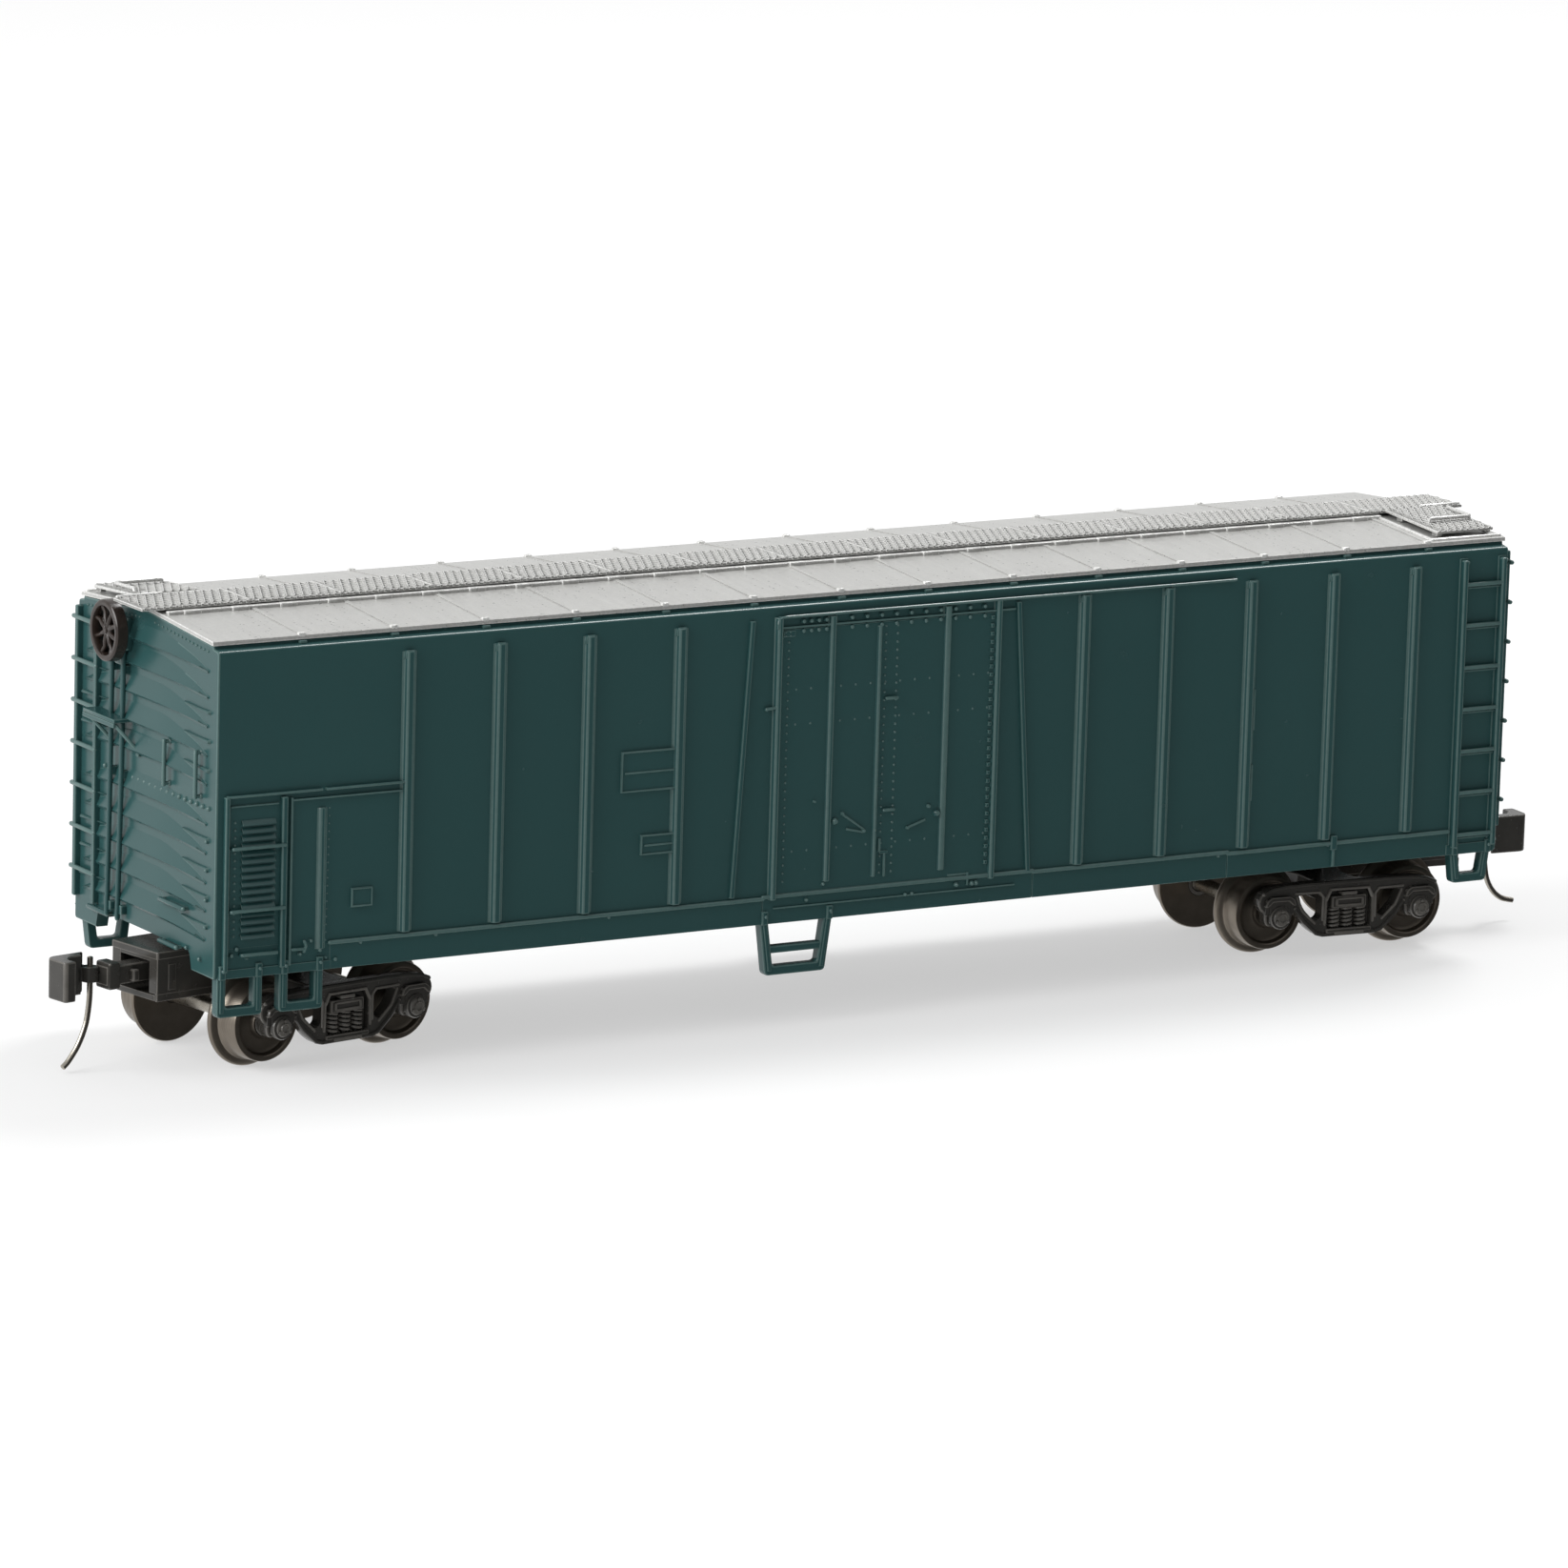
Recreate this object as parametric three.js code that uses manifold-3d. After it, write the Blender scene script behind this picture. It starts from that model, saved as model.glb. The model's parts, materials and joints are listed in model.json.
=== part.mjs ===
// N scale (1:160) insulated box car: moulded body, separate roof and running board, weighted underframe,
// and two swivelling trucks that carry the wheelsets and the knuckle couplers.
// Millimetres, +Z up, +X along the car towards its plain end; the brake wheel is at the -X end.
// z = 0 is the lowest point of the wheel flanges, and the origin is under the middle of the car.
import * as THREE from 'three';
import Module from 'manifold-3d';
import { mergeVertices } from 'three/addons/utils/BufferGeometryUtils.js';

const wasm = await Module();
wasm.setup();

// ---- driving dimensions ----
const body = {
  halfLength: 48.75, halfWidth: 9.8, bottom: 7.0, sideTop: 27.9, wall: 0.85,
  ledgeInset: 0.7, ledgeRise: 0.12, fasciaTop: 28.19, ridge: 28.84,
  rimInset: 1.3, ceiling: 27.2, notchHalf: 6.4, notchTop: 8.25, sillHeight: 1.75, sillProud: 0.16,
};
const rib = { pitch: 6.55, firstPost: 15.05, lastPost: 41.3, width: 0.75, proud: 0.3, low: 1.9, high: 20.1 };
const door = {
  halfWidth: 8.4, low: 1.75, high: 20.0, postWidth: 0.55, innerPosts: [-4.4, -0.75, 4.5],
  proud: 0.34, panelProud: 0.14,
};
const ladder = {
  rungs: 7, sidePitch: 2.865, sideFirst: 1.42, endPitch: 2.72, endFirst: 3.5, proud: 0.5,
  stile: 0.5, rung: 0.34, nearX: 45.1, farX: 48.2, innerY: 6.7, outerY: 9.35,
  sideLow: 0.6, sideHigh: 20.4, endLow: 1.6, endHigh: 20.6,
};
const step = {
  depth: 0.5, bar: 0.62, lap: 0.1, overlap: 0.4,
  corner: { from: 45.0, to: 48.3, drop: 2.0, taper: 0.3 },
  middle: { from: -9.1, to: -3.6, drop: 3.45, taper: 0.5, rungDrop: 1.5, rung: 0.5 },
  small: [{ from: -48.5, to: -45.3, drop: 2.5, taper: 0 }, { from: -44.1, to: -41.0, drop: 2.5, taper: 0 }],
};
const corrugation = { stacks: [2.6, 12.2], perStack: 4, pitch: 1.95, half: 8.9, proud: 0.45, edge: 0.2, swell: 0.5 };
const rigging = {
  proud: 0.55, housing: [1.9, 4.1, 26.0, 28.0], rods: [2.3, 3.8], rodHalf: 0.15, rodLow: 1.5, rodHigh: 19.2,
  platform: [1.1, 5.5], platformLow: 14.2, platformHigh: 14.5, platformReach: 0.9,
};
const endGrab = { places: [-3.4, -8.1], half: 0.2, low: 11.0, high: 14.3, proud: 0.5 };
// the machinery compartment at the near-side corner: louvres between two posts, then a plain hatch
const plant = {
  louvres: [-47.5, -44.2], louvreLow: 1.6, louvreHigh: 11.0, louvrePitch: 1.2, louvre: 0.6, thin: 0.25, thick: 0.35,
  lintel: [-48.3, -35.3, 11.3, 11.65], posts: [[-43.9, -43.5], [-48.2, -47.8]], postLow: 0.6, postHigh: 11.5,
  hatchPost: [-41.1, -40.7, 1.6, 11.2],
};
const roof = {
  sheet: 0.28, overhang: 0.12, seams: 14, seamPitch: 6.55, seamWidth: 0.34, seamHeight: 0.08,
  plug: 0.8, plugWall: 1, plugPlay: 0.1,
};
const board = {
  halfLength: 50.2, halfWidth: 2.05, top: 29.5, thick: 0.2, standoff: 0.28,
  platformIn: 43.9, platformOut: 48.45, platformEdge: 8.3, saddleWidth: 0.5, saddleFrom: 1.2, saddleTo: 1.8,
  feetAt: [3.6, 7.8], foot: 0.5, footHalf: 0.3, platformLap: 0.3,
  grabWire: 0.26, grabRise: 0.42, grabY: 6.2, grabEndY: 3.2, grabInset: 0.7, grabOutset: 0.4,
};
const handwheel = {
  radius: 2.0, rim: 0.32, depth: 0.85, x: -49.55, y: 3.0, z: 27.15,
  spokes: 8, spokeHalf: 0.13, hub: 0.42, peg: 0.3, pegLength: 1.6,
};
const floorPan = {
  top: 8.95, under: 8.2, halfWidth: 8.75, halfLength: 47.6, sillHalf: 1.1, sillDrop: 6.75, sillEnd: 29,
  bearers: [-24, -12, 0, 12, 24], bearerHalf: 0.5, bearerLift: 0.5, bolsterHalf: 1, bolsterDrop: 0.9,
};
const tank = { radius: 1.3, from: -22.5, to: -16.5, y: -4.6, drop: 1.1 };
const ballast = { halfLength: 36, halfWidth: 7.6, thick: 1.6 };
// the trucks stand a little turned at rest, each with its coupler towards the near side
const swing = { plainEnd: 4.5, brakeEnd: 10.5 };
const truck = {
  centre: 39.2, wheelbase: 10.8, frameIn: 6.5, frameOut: 7.4, capOut: 8.05, capRadius: 0.8,
  bolsterLow: 3.72, bolsterHigh: 5.0, bolsterHalf: 1.65, pinHole: 0.83, armHalf: 1.6, armLow: 4.2, riserHigh: 6.2,
  springPitch: 0.95, springRadius: 0.42, springLow: 1.95, springHigh: 3.6, windowHalf: 1.7, windowLow: 2.0,
  windowHigh: 4.5, bolsterEnd: { half: 1.45, low: 3.55, high: 4.3 }, web: { half: 1.75, low: 1.9, high: 4.55 },
  journalHalf: 1.0, journalDrop: 0.35, journalRise: 1.15, coneMouth: 0.42, coneDepth: 0.38,
};
const wheel = { tread: 2.6, flange: 3.15, back: 3.8, face: 6.0, hub: 1.05, bore: 0.62, bush: 0.9, segments: 22 };
const axle = { middle: 0.5, seat: 0.6, journal: 0.34, cone: 6.52, tip: 6.93, seatGap: 0.02 };
const pocket = {
  back: 6.3, front: 11.4, half: 2.4, low: 4.55, high: 7.75, wall: 0.5, mouthHalf: 1.5,
  pivot: 8.9, post: 0.45, lidInset: 0.3, lid: 0.4,
};
const coupler = { low: 4.9, high: 7.5, shankLow: 5.55, shankHigh: 6.8, shankHalf: 0.6, ring: 1.0, play: 0.05 };
const head = {
  back: 13.7, front: 14.6, half: 1.3, guardFront: 15.3, guardIn: 0.5, pivotX: 14.35, pivotY: -0.72,
  slotIn: -0.1, slotLow: 5.7, slotHigh: 6.7,
};
const hook = { inner: 16.45, outer: 17.3, spineOut: -1.55, spineIn: -0.75, noseEnd: 0.65, lug: 0.6, sweep: 0.68 };
const trip = { wire: 0.2, top: 7.3, sides: 4, steps: 14 };
const spring = { turns: 3, radius: 0.45, wire: 0.07, stepsPerTurn: 8, endGap: 0.12 };
const kingpin = { head: 1.3, headLow: 3.2, shank: 0.75, top: 7.1, bore: 0.8, boss: 1.8, bossLow: 5.05 };
const gap = 0.03;
const past = 1;
const axleHeight = wheel.flange;

// ---- solids ----
function solid(geometry) {
  const bare = geometry.clone();
  bare.deleteAttribute('normal');
  bare.deleteAttribute('uv');
  const merged = mergeVertices(bare, 1e-5);
  const source = merged.index.array;
  const triangles = [];
  for (let i = 0; i < source.length; i += 3) {
    const [a, b, c] = [source[i], source[i + 1], source[i + 2]];
    if (a !== b && b !== c && c !== a) triangles.push(a, b, c);
  }
  const build = (order) => new wasm.Manifold(new wasm.Mesh({
    numProp: 3,
    vertProperties: new Float32Array(merged.attributes.position.array),
    triVerts: new Uint32Array(order),
  }));
  const made = build(triangles);
  return made.volume() > 0 ? made : build(triangles.reverse());
}

function box(x0, x1, y0, y1, z0, z1) {
  const shape = new THREE.BoxGeometry(x1 - x0, y1 - y0, z1 - z0);
  shape.translate((x0 + x1) / 2, (y0 + y1) / 2, (z0 + z1) / 2);
  return solid(shape);
}

function extrude(outline, depth) {
  const shape = new THREE.Shape(outline.map(([x, y]) => new THREE.Vector2(x, y)));
  return new THREE.ExtrudeGeometry(shape, { depth, bevelEnabled: false, steps: 1 });
}

// outline in (x, y), from z0 up to z1
function plate(outline, z0, z1) {
  return solid(extrude(outline, z1 - z0).translate(0, 0, z0));
}

// outline in (x, z), from y0 to y1
function sideOn(outline, y0, y1) {
  return solid(extrude(outline, y1 - y0).rotateX(Math.PI / 2).translate(0, y1, 0));
}

// outline in (y, z), from x0 to x1
function endOn(outline, x0, x1) {
  const geometry = extrude(outline, x1 - x0);
  geometry.applyMatrix4(new THREE.Matrix4().set(0, 0, 1, x0, 1, 0, 0, 0, 0, 1, 0, 0, 0, 0, 0, 1));
  return solid(geometry);
}

// upright round bar, and the same bar along x or y
function bar(radius, z0, z1, sides = 16) {
  return solid(new THREE.CylinderGeometry(radius, radius, z1 - z0, sides).rotateX(Math.PI / 2)
    .translate(0, 0, (z0 + z1) / 2));
}

function barX(radius, x0, x1, y, z, sides = 8) {
  return solid(new THREE.CylinderGeometry(radius, radius, x1 - x0, sides).rotateZ(Math.PI / 2)
    .translate((x0 + x1) / 2, y, z));
}

function barY(radius, y0, y1, x, z, sides = 16) {
  return solid(new THREE.CylinderGeometry(radius, radius, y1 - y0, sides).translate(x, (y0 + y1) / 2, z));
}

// a profile of (radius, along y) turned about the y axis
function turned(profile, segments) {
  return solid(new THREE.LatheGeometry(profile.map(([r, y]) => new THREE.Vector2(r, y)), segments));
}

const join = (pieces) => pieces.reduce((whole, piece) => whole.add(piece));
const cut = (base, tools) => tools.reduce((rest, tool) => rest.subtract(tool), base);
const halfTurn = (piece) => piece.rotate([0, 0, 180]);
const mirrorY = (piece) => piece.mirror([0, 1, 0]);

// ---- materials ----
const finish = (name, color, roughness, metalness) =>
  new THREE.MeshStandardMaterial({ name, color, roughness, metalness });
const teal = () => finish('teal_paint', 0x2b4a4c, 0.45, 0);
const silver = () => finish('silver_paint', 0xc4c6c4, 0.4, 0.5);
const blackPlastic = () => finish('black_plastic', 0x151515, 0.4, 0);
const brownPlastic = () => finish('brown_plastic', 0x2c2320, 0.5, 0);
const wheelMetal = () => finish('blackened_metal', 0x5c554c, 0.35, 0.9);
const brightSteel = () => finish('bright_steel', 0x9a968c, 0.3, 1);

function node(name, piece, material) {
  const { vertProperties, triVerts } = piece.getMesh();
  const geometry = new THREE.BufferGeometry();
  geometry.setAttribute('position', new THREE.BufferAttribute(new Float32Array(vertProperties), 3));
  geometry.setIndex(new THREE.BufferAttribute(new Uint32Array(triVerts), 1));
  geometry.computeVertexNormals();
  const mesh = new THREE.Mesh(geometry, material);
  mesh.name = name;
  return mesh;
}

// ---- body shell ----
const up = (height) => body.bottom + height;

function roofLine(y, lift = 0) {
  const run = body.halfWidth - body.ledgeInset;
  return body.fasciaTop + (body.ridge - body.fasciaTop) * (1 - Math.abs(y) / run) + lift;
}

function shellWalls() {
  const { halfLength: l, halfWidth: w, bottom, sideTop, wall } = body;
  const ledge = w - body.ledgeInset;
  const outer = endOn([
    [-w, bottom], [w, bottom], [w, sideTop], [ledge, sideTop + body.ledgeRise], [ledge, body.fasciaTop],
    [0, body.ridge], [-ledge, body.fasciaTop], [-ledge, sideTop + body.ledgeRise], [-w, sideTop],
  ], -l, l);
  const inX = l - wall;
  const inY = w - wall;
  const rimX = l - body.rimInset;
  const rimY = ledge - body.rimInset;
  return cut(outer, [
    box(-inX, inX, -inY, inY, bottom - past, body.ceiling),
    box(-rimX, rimX, -rimY, rimY, bottom, body.ridge + past),
    box(-l - past, l + past, -body.notchHalf, body.notchHalf, bottom - past, body.notchTop),
    brakePegHole(),
  ]);
}

function brakePegHole() {
  const { x, y, z, peg } = handwheel;
  return barX(peg + gap, x, x + 2 * past, y, z, 12);
}

function sideFace(x0, x1, z0, z1, proud) {
  return box(x0, x1, -body.halfWidth - proud, -body.halfWidth + gap, up(z0), up(z1));
}

function sideRibs(positions) {
  return positions.map((x) => sideFace(x - rib.width / 2, x + rib.width / 2, rib.low, rib.high, rib.proud));
}

function ribPositions() {
  const steps = Math.round((rib.lastPost - rib.firstPost) / rib.pitch);
  const right = Array.from({ length: steps + 1 }, (_, i) => rib.firstPost + i * rib.pitch);
  return { right, left: right.slice(0, -1).map((x) => -x - 0.5) };
}

function slidingDoor() {
  const { halfWidth: h, low, high, postWidth, proud, panelProud } = door;
  const pieces = [sideFace(-h, h, low, high, panelProud)];
  for (const x of [-h, ...door.innerPosts, h]) {
    pieces.push(sideFace(x - postWidth / 2, x + postWidth / 2, low, high, proud));
  }
  for (const z of [low, high - postWidth]) {
    pieces.push(sideFace(-h, h, z, z + postWidth, proud));
  }
  return pieces;
}

function sideLadder() {
  const { stile, rung, nearX, farX, proud, sideLow: low, sideHigh: high } = ladder;
  const out = -body.halfWidth - proud;
  const pieces = [nearX, farX].map((x) =>
    box(x - stile / 2, x + stile / 2, out, -body.halfWidth + gap, up(low), up(high)));
  for (let i = 0; i < ladder.rungs; i += 1) {
    const z = up(ladder.sideFirst + i * ladder.sidePitch);
    pieces.push(box(nearX, farX, out + gap, out + rung, z - rung / 2, z + rung / 2));
  }
  return pieces;
}

// on the plain end, at the corner beside the near-side ladder
function endLadder() {
  const { stile, rung, innerY, outerY, proud, endLow: low, endHigh: high } = ladder;
  const wallX = body.halfLength;
  const pieces = [innerY, outerY].map((y) =>
    box(wallX - gap, wallX + proud, -y - stile / 2, -y + stile / 2, up(low), up(high)));
  for (let i = 0; i < ladder.rungs; i += 1) {
    const z = up(ladder.endFirst + i * ladder.endPitch);
    pieces.push(box(wallX + proud - rung, wallX + proud - gap, -outerY, -innerY, z - rung / 2, z + rung / 2));
  }
  return pieces;
}

function stirrup({ from, to, drop, taper }) {
  const { depth, bar: b, lap, overlap } = step;
  const y1 = -body.halfWidth + lap;
  const outline = [[from, up(overlap)], [from + taper, up(-drop)], [to - taper, up(-drop)], [to, up(overlap)]];
  const hole = [
    [from + b, up(-gap)], [from + b + taper, up(-drop + b)], [to - b - taper, up(-drop + b)], [to - b, up(-gap)],
  ];
  return sideOn(outline, y1 - depth, y1).subtract(sideOn(hole, y1 - depth - past, y1 + past));
}

// the step under the door has a cross rung between its legs
function middleStep() {
  const { from, to, rungDrop, rung } = step.middle;
  const inset = step.bar;
  const rungBar = sideOn([
    [from + inset, up(-rungDrop)], [to - inset, up(-rungDrop)],
    [to - inset, up(-rungDrop - rung)], [from + inset, up(-rungDrop - rung)],
  ], -body.halfWidth - step.depth + 2 * step.lap, -body.halfWidth + step.lap);
  return [stirrup(step.middle), rungBar];
}

// pressed end: tapered bars in two stacks, with a flat seam between them
function endCorrugations() {
  const { stacks, perStack, pitch, half, proud, edge, swell } = corrugation;
  return stacks.flatMap((first) => Array.from({ length: perStack }, (_, i) => {
    const z = up(first + i * pitch);
    return endOn([
      [-half, z], [0, z - swell], [half, z], [half, z + edge], [0, z + edge + swell], [-half, z + edge],
    ], body.halfLength - gap, body.halfLength + proud);
  }));
}

// brake rigging moulded on the brake end: housing behind the hand wheel, rods and a small platform
function brakeRigging() {
  const { proud, housing, rods, rodHalf, rodLow, rodHigh, platform } = rigging;
  const x0 = -body.halfLength - proud;
  const x1 = -body.halfLength + gap;
  const rodBars = rods.map((y) => box(x0 + 0.1, x1, y - rodHalf, y + rodHalf, up(rodLow), up(rodHigh)));
  const shelf = box(x0 - rigging.platformReach, x1, ...platform, up(rigging.platformLow), up(rigging.platformHigh));
  return [...rodBars, shelf, cut(box(x0, x1, ...housing), [brakePegHole()])];
}

function endGrabs() {
  const { places, half, low, high, proud } = endGrab;
  const x0 = -body.halfLength - proud;
  return places.map((y) => box(x0, -body.halfLength + gap, y - half, y + half, up(low), up(high)));
}

function compartment() {
  const { louvres, louvreLow, louvreHigh, louvrePitch, louvre, thin, thick } = plant;
  const count = Math.ceil((louvreHigh - louvreLow) / louvrePitch);
  const slats = Array.from({ length: count }, (_, i) => louvreLow + i * louvrePitch).map((z) =>
    sideFace(...louvres, z, z + louvre, thin));
  const posts = plant.posts.map(([x0, x1]) => sideFace(x0, x1, plant.postLow, plant.postHigh, thick));
  return [...slats, ...posts, sideFace(...plant.lintel, thin), sideFace(...plant.hatchPost, thin)];
}

function sideSill() {
  return sideFace(-body.halfLength + 0.2, body.halfLength - 0.2, 0, body.sillHeight, body.sillProud);
}

function commonSide() {
  const { right, left } = ribPositions();
  const sheet = [sideSill(), ...sideRibs(right), ...slidingDoor(), ...sideLadder(), ...middleStep()];
  return { sheet, left, corner: stirrup(step.corner) };
}

function bodyShell() {
  const { sheet, left, corner } = commonSide();
  const small = step.small.map(stirrup);
  const nearSide = join([...sheet, corner, ...sideRibs(left), ...small, ...compartment()]);
  const farSide = halfTurn(join([...sheet, corner, ...sideRibs(left), ...small]));
  const plainEnd = join([...endLadder(), ...endCorrugations()]);
  const ends = [plainEnd, halfTurn(plainEnd), ...brakeRigging(), ...endGrabs()];
  return cut(join([shellWalls(), nearSide, farSide, ...ends]), [brakePegHole()]);
}

// ---- roof ----
function roofPanel() {
  const run = body.halfWidth - body.ledgeInset + roof.overhang;
  const x1 = body.halfLength + roof.overhang;
  const under = (y) => roofLine(y, gap);
  const sheet = endOn([
    [-run, under(run)], [0, under(0)], [run, under(run)], [run, under(run) + roof.sheet],
    [0, under(0) + roof.sheet], [-run, under(run) + roof.sheet],
  ], -x1, x1);
  const plugX = body.halfLength - body.rimInset - roof.plugPlay;
  const plugY = body.halfWidth - body.ledgeInset - body.rimInset - roof.plugPlay;
  const t = roof.plugWall;
  const plug = cut(box(-plugX, plugX, -plugY, plugY, body.fasciaTop - roof.plug, body.fasciaTop + 0.3), [
    box(-plugX + t, plugX - t, -plugY + t, plugY - t, body.fasciaTop - roof.plug - past, body.fasciaTop),
  ]);
  const seams = [];
  for (let i = 0; i < roof.seams; i += 1) {
    const x = (i - (roof.seams - 1) / 2) * roof.seamPitch;
    const top = roof.sheet + roof.seamHeight;
    seams.push(endOn([[-run, under(run)], [0, under(0)], [run, under(run)], [run, under(run) + top],
      [0, under(0) + top], [-run, under(run) + top]], x - roof.seamWidth / 2, x + roof.seamWidth / 2));
  }
  return join([sheet, plug, ...seams]);
}

function runningBoard() {
  const { halfLength: l, halfWidth: w, top, thick } = board;
  const walk = box(-l, l, -w, w, top - thick, top);
  const saddles = [];
  for (let i = 0; i < roof.seams; i += 1) {
    const x = (i - (roof.seams - 1) / 2) * roof.seamPitch;
    const half = board.saddleWidth / 2;
    const foot = roofLine(board.saddleFrom, gap * 2 + roof.sheet + roof.seamHeight);
    const saddle = box(x - half, x + half, board.saddleFrom, board.saddleTo, foot, top - thick / 2);
    saddles.push(saddle, mirrorY(saddle));
  }
  const { platformIn: p0, platformOut: p1, platformEdge: edge, platformLap: lap } = board;
  const deck = (y) => roofLine(y, gap + roof.sheet + board.standoff);
  const platform = join([
    endOn([[-edge, deck(edge)], [-w + lap, deck(w - lap)], [-w + lap, top], [-w, top],
      [-edge, deck(edge) + thick]], p0, p1),
    ...platformFeet(p0, p1, deck), ...platformGrab(p0, p1, deck),
  ]);
  return join([walk, ...saddles, platform, halfTurn(platform)]);
}

function platformFeet(p0, p1, deck) {
  const { feetAt, foot, footHalf: half } = board;
  const clear = gap * 2 + roof.sheet;
  return feetAt.flatMap((y) => [p0, p1 - foot].map((x) =>
    box(x, x + foot, -y - half, -y + half, roofLine(y - half, clear), deck(y) + board.thick / 2)));
}

function platformGrab(p0, p1, deck) {
  const { grabWire: g, grabRise: rise, grabY: y, grabEndY: y1 } = board;
  const z = deck(y) + board.thick + rise;
  const x0 = p0 + board.grabInset;
  const x1 = p1 - board.grabOutset;
  const foot = (x, at) => box(x - g / 2, x + g / 2, -at - g / 2, -at + g / 2, deck(at), z + g / 2);
  return [
    box(x0 - g / 2, x1 + g / 2, -y - g / 2, -y + g / 2, z - g / 2, z + g / 2),
    box(x1 - g / 2, x1 + g / 2, -y, -y1 + g / 2, z - g / 2, z + g / 2),
    foot(x0, y), foot(x1, y), foot(x1, y1),
  ];
}

// ---- brake wheel: rim, spokes and hub, on a peg that turns in the end of the body ----
function brakeWheel() {
  const { radius, rim, depth, spokes, spokeHalf, hub, peg, pegLength } = handwheel;
  const ring = turned([[radius - rim, 0], [radius, 0], [radius, -depth], [radius - rim, -depth],
    [radius - rim, 0]], 24);
  const centre = turned([[0, -depth * 0.8], [hub, -depth * 0.8], [hub, 0], [peg, 0], [peg, pegLength],
    [0, pegLength]], 12);
  const arms = Array.from({ length: spokes }, (_, i) => {
    const arm = box(0, radius - rim / 2, -depth * 0.65, -depth * 0.35, -spokeHalf, spokeHalf);
    return arm.rotate([0, (i * 360) / spokes, 0]);
  });
  return join([ring, centre, ...arms]).rotate([0, 0, -90]);
}

// ---- underframe ----
function underframe() {
  const { top, under, halfWidth: w, halfLength: l, sillHalf, sillDrop, sillEnd, bearerHalf: b } = floorPan;
  const pan = box(-l, l, -w, w, under, top);
  const sill = box(-sillEnd, sillEnd, -sillHalf, sillHalf, sillDrop, under + gap);
  const bearers = floorPan.bearers.map((x) =>
    box(x - b, x + b, -w, w, sillDrop + floorPan.bearerLift, under + gap));
  const airTank = barX(tank.radius, tank.from, tank.to, tank.y, under - tank.drop, 14);
  const bosses = [-truck.centre, truck.centre].flatMap((x) => [
    bar(kingpin.boss, kingpin.bossLow, under + gap).translate([x, 0, 0]),
    box(x - floorPan.bolsterHalf, x + floorPan.bolsterHalf, -w, w, under - floorPan.bolsterDrop, under + gap),
  ]);
  const bores = [-truck.centre, truck.centre].map((x) =>
    bar(kingpin.bore, kingpin.bossLow - past, kingpin.top + 0.15).translate([x, 0, 0]));
  return cut(join([pan, sill, ...bearers, airTank, ...bosses]), bores);
}

function ballastPlate() {
  const { halfLength: l, halfWidth: w, thick } = ballast;
  return box(-l, l, -w, w, floorPan.top + gap, floorPan.top + gap + thick);
}

// ---- truck: built about its own pivot, +X towards the coupler ----
const axleX = truck.wheelbase / 2;

function sideFrameOutline() {
  const half = [
    [2.1, 1.5], [3.2, 2.1], [4.1, 3.1], [4.5, 2.45], [6.3, 2.45], [6.6, 3.1], [7.0, 3.4],
    [6.9, 4.5], [6.2, 5.0], [4.8, 5.3], [3.0, 5.35],
  ];
  return [...half, ...half.map(([x, z]) => [-x, z]).reverse()];
}

function sideFrame() {
  const { frameIn, frameOut, capOut, capRadius, bolsterEnd: seat, web } = truck;
  const { windowHalf: w, windowLow, windowHigh, springPitch, springRadius, springLow, springHigh } = truck;
  const plateSolid = sideOn(sideFrameOutline(), -frameOut, -frameIn);
  const windows = [-1, 1].map((side) => {
    const corners = [[2.1, 4.5], [4.0, 4.5], [3.3, 3.2], [2.5, 2.6]].map(([x, z]) => [x * side, z]);
    return sideOn(side > 0 ? corners : corners.reverse(), -frameOut - past, -frameIn + past);
  });
  const springWindow = sideOn([[-w, windowLow], [w, windowLow], [w, windowHigh], [-w, windowHigh]],
    -frameOut - past, -frameIn + past);
  const bolsterSeat = box(-seat.half, seat.half, -frameOut + 0.1, -frameIn, seat.low, seat.high);
  const webs = box(-web.half, web.half, -frameOut + 0.35, -frameIn, web.low, web.high);
  const springs = [-1, 0, 1].map((i) =>
    bar(springRadius, springLow, springHigh, 10).translate([i * springPitch, -frameOut + 0.4, 0]));
  const { journalHalf: j, journalDrop, journalRise, coneMouth, coneDepth } = truck;
  const caps = [-axleX, axleX].flatMap((x) => [
    barY(capRadius, -capOut, -frameIn, x, axleHeight),
    box(x - j, x + j, -frameOut - 0.25, -frameIn, axleHeight - journalDrop, axleHeight + journalRise),
  ]);
  const cones = [-axleX, axleX].map((x) =>
    turned([[0, -frameOut + coneDepth], [coneMouth, -frameIn], [coneMouth, -frameIn + past], [0, -frameIn + past]], 16)
      .translate([x, 0, axleHeight]));
  return cut(join([cut(plateSolid, [...windows, springWindow]), webs, bolsterSeat, ...springs, ...caps]), cones);
}

function couplerPocket() {
  const { back, front, half, low, high, wall, mouthHalf, pivot, post } = pocket;
  const shell = box(back, front, -half, half, low, high);
  const post1 = bar(post, coupler.shankLow - 0.3, high - wall + gap).translate([pivot, 0, 0]);
  const cavity = box(back + wall, front - wall, -half + wall, half - wall, low - past, high - wall);
  const mouth = box(front - wall - past, front + past, -mouthHalf, mouthHalf, low - past, high - wall - 0.2);
  const floorSeat = box(back + 0.25, front + past, -half + 0.25, half - 0.25, low - past, low + 0.45);
  return cut(shell, [cavity, mouth, floorSeat]).add(post1);
}

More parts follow.
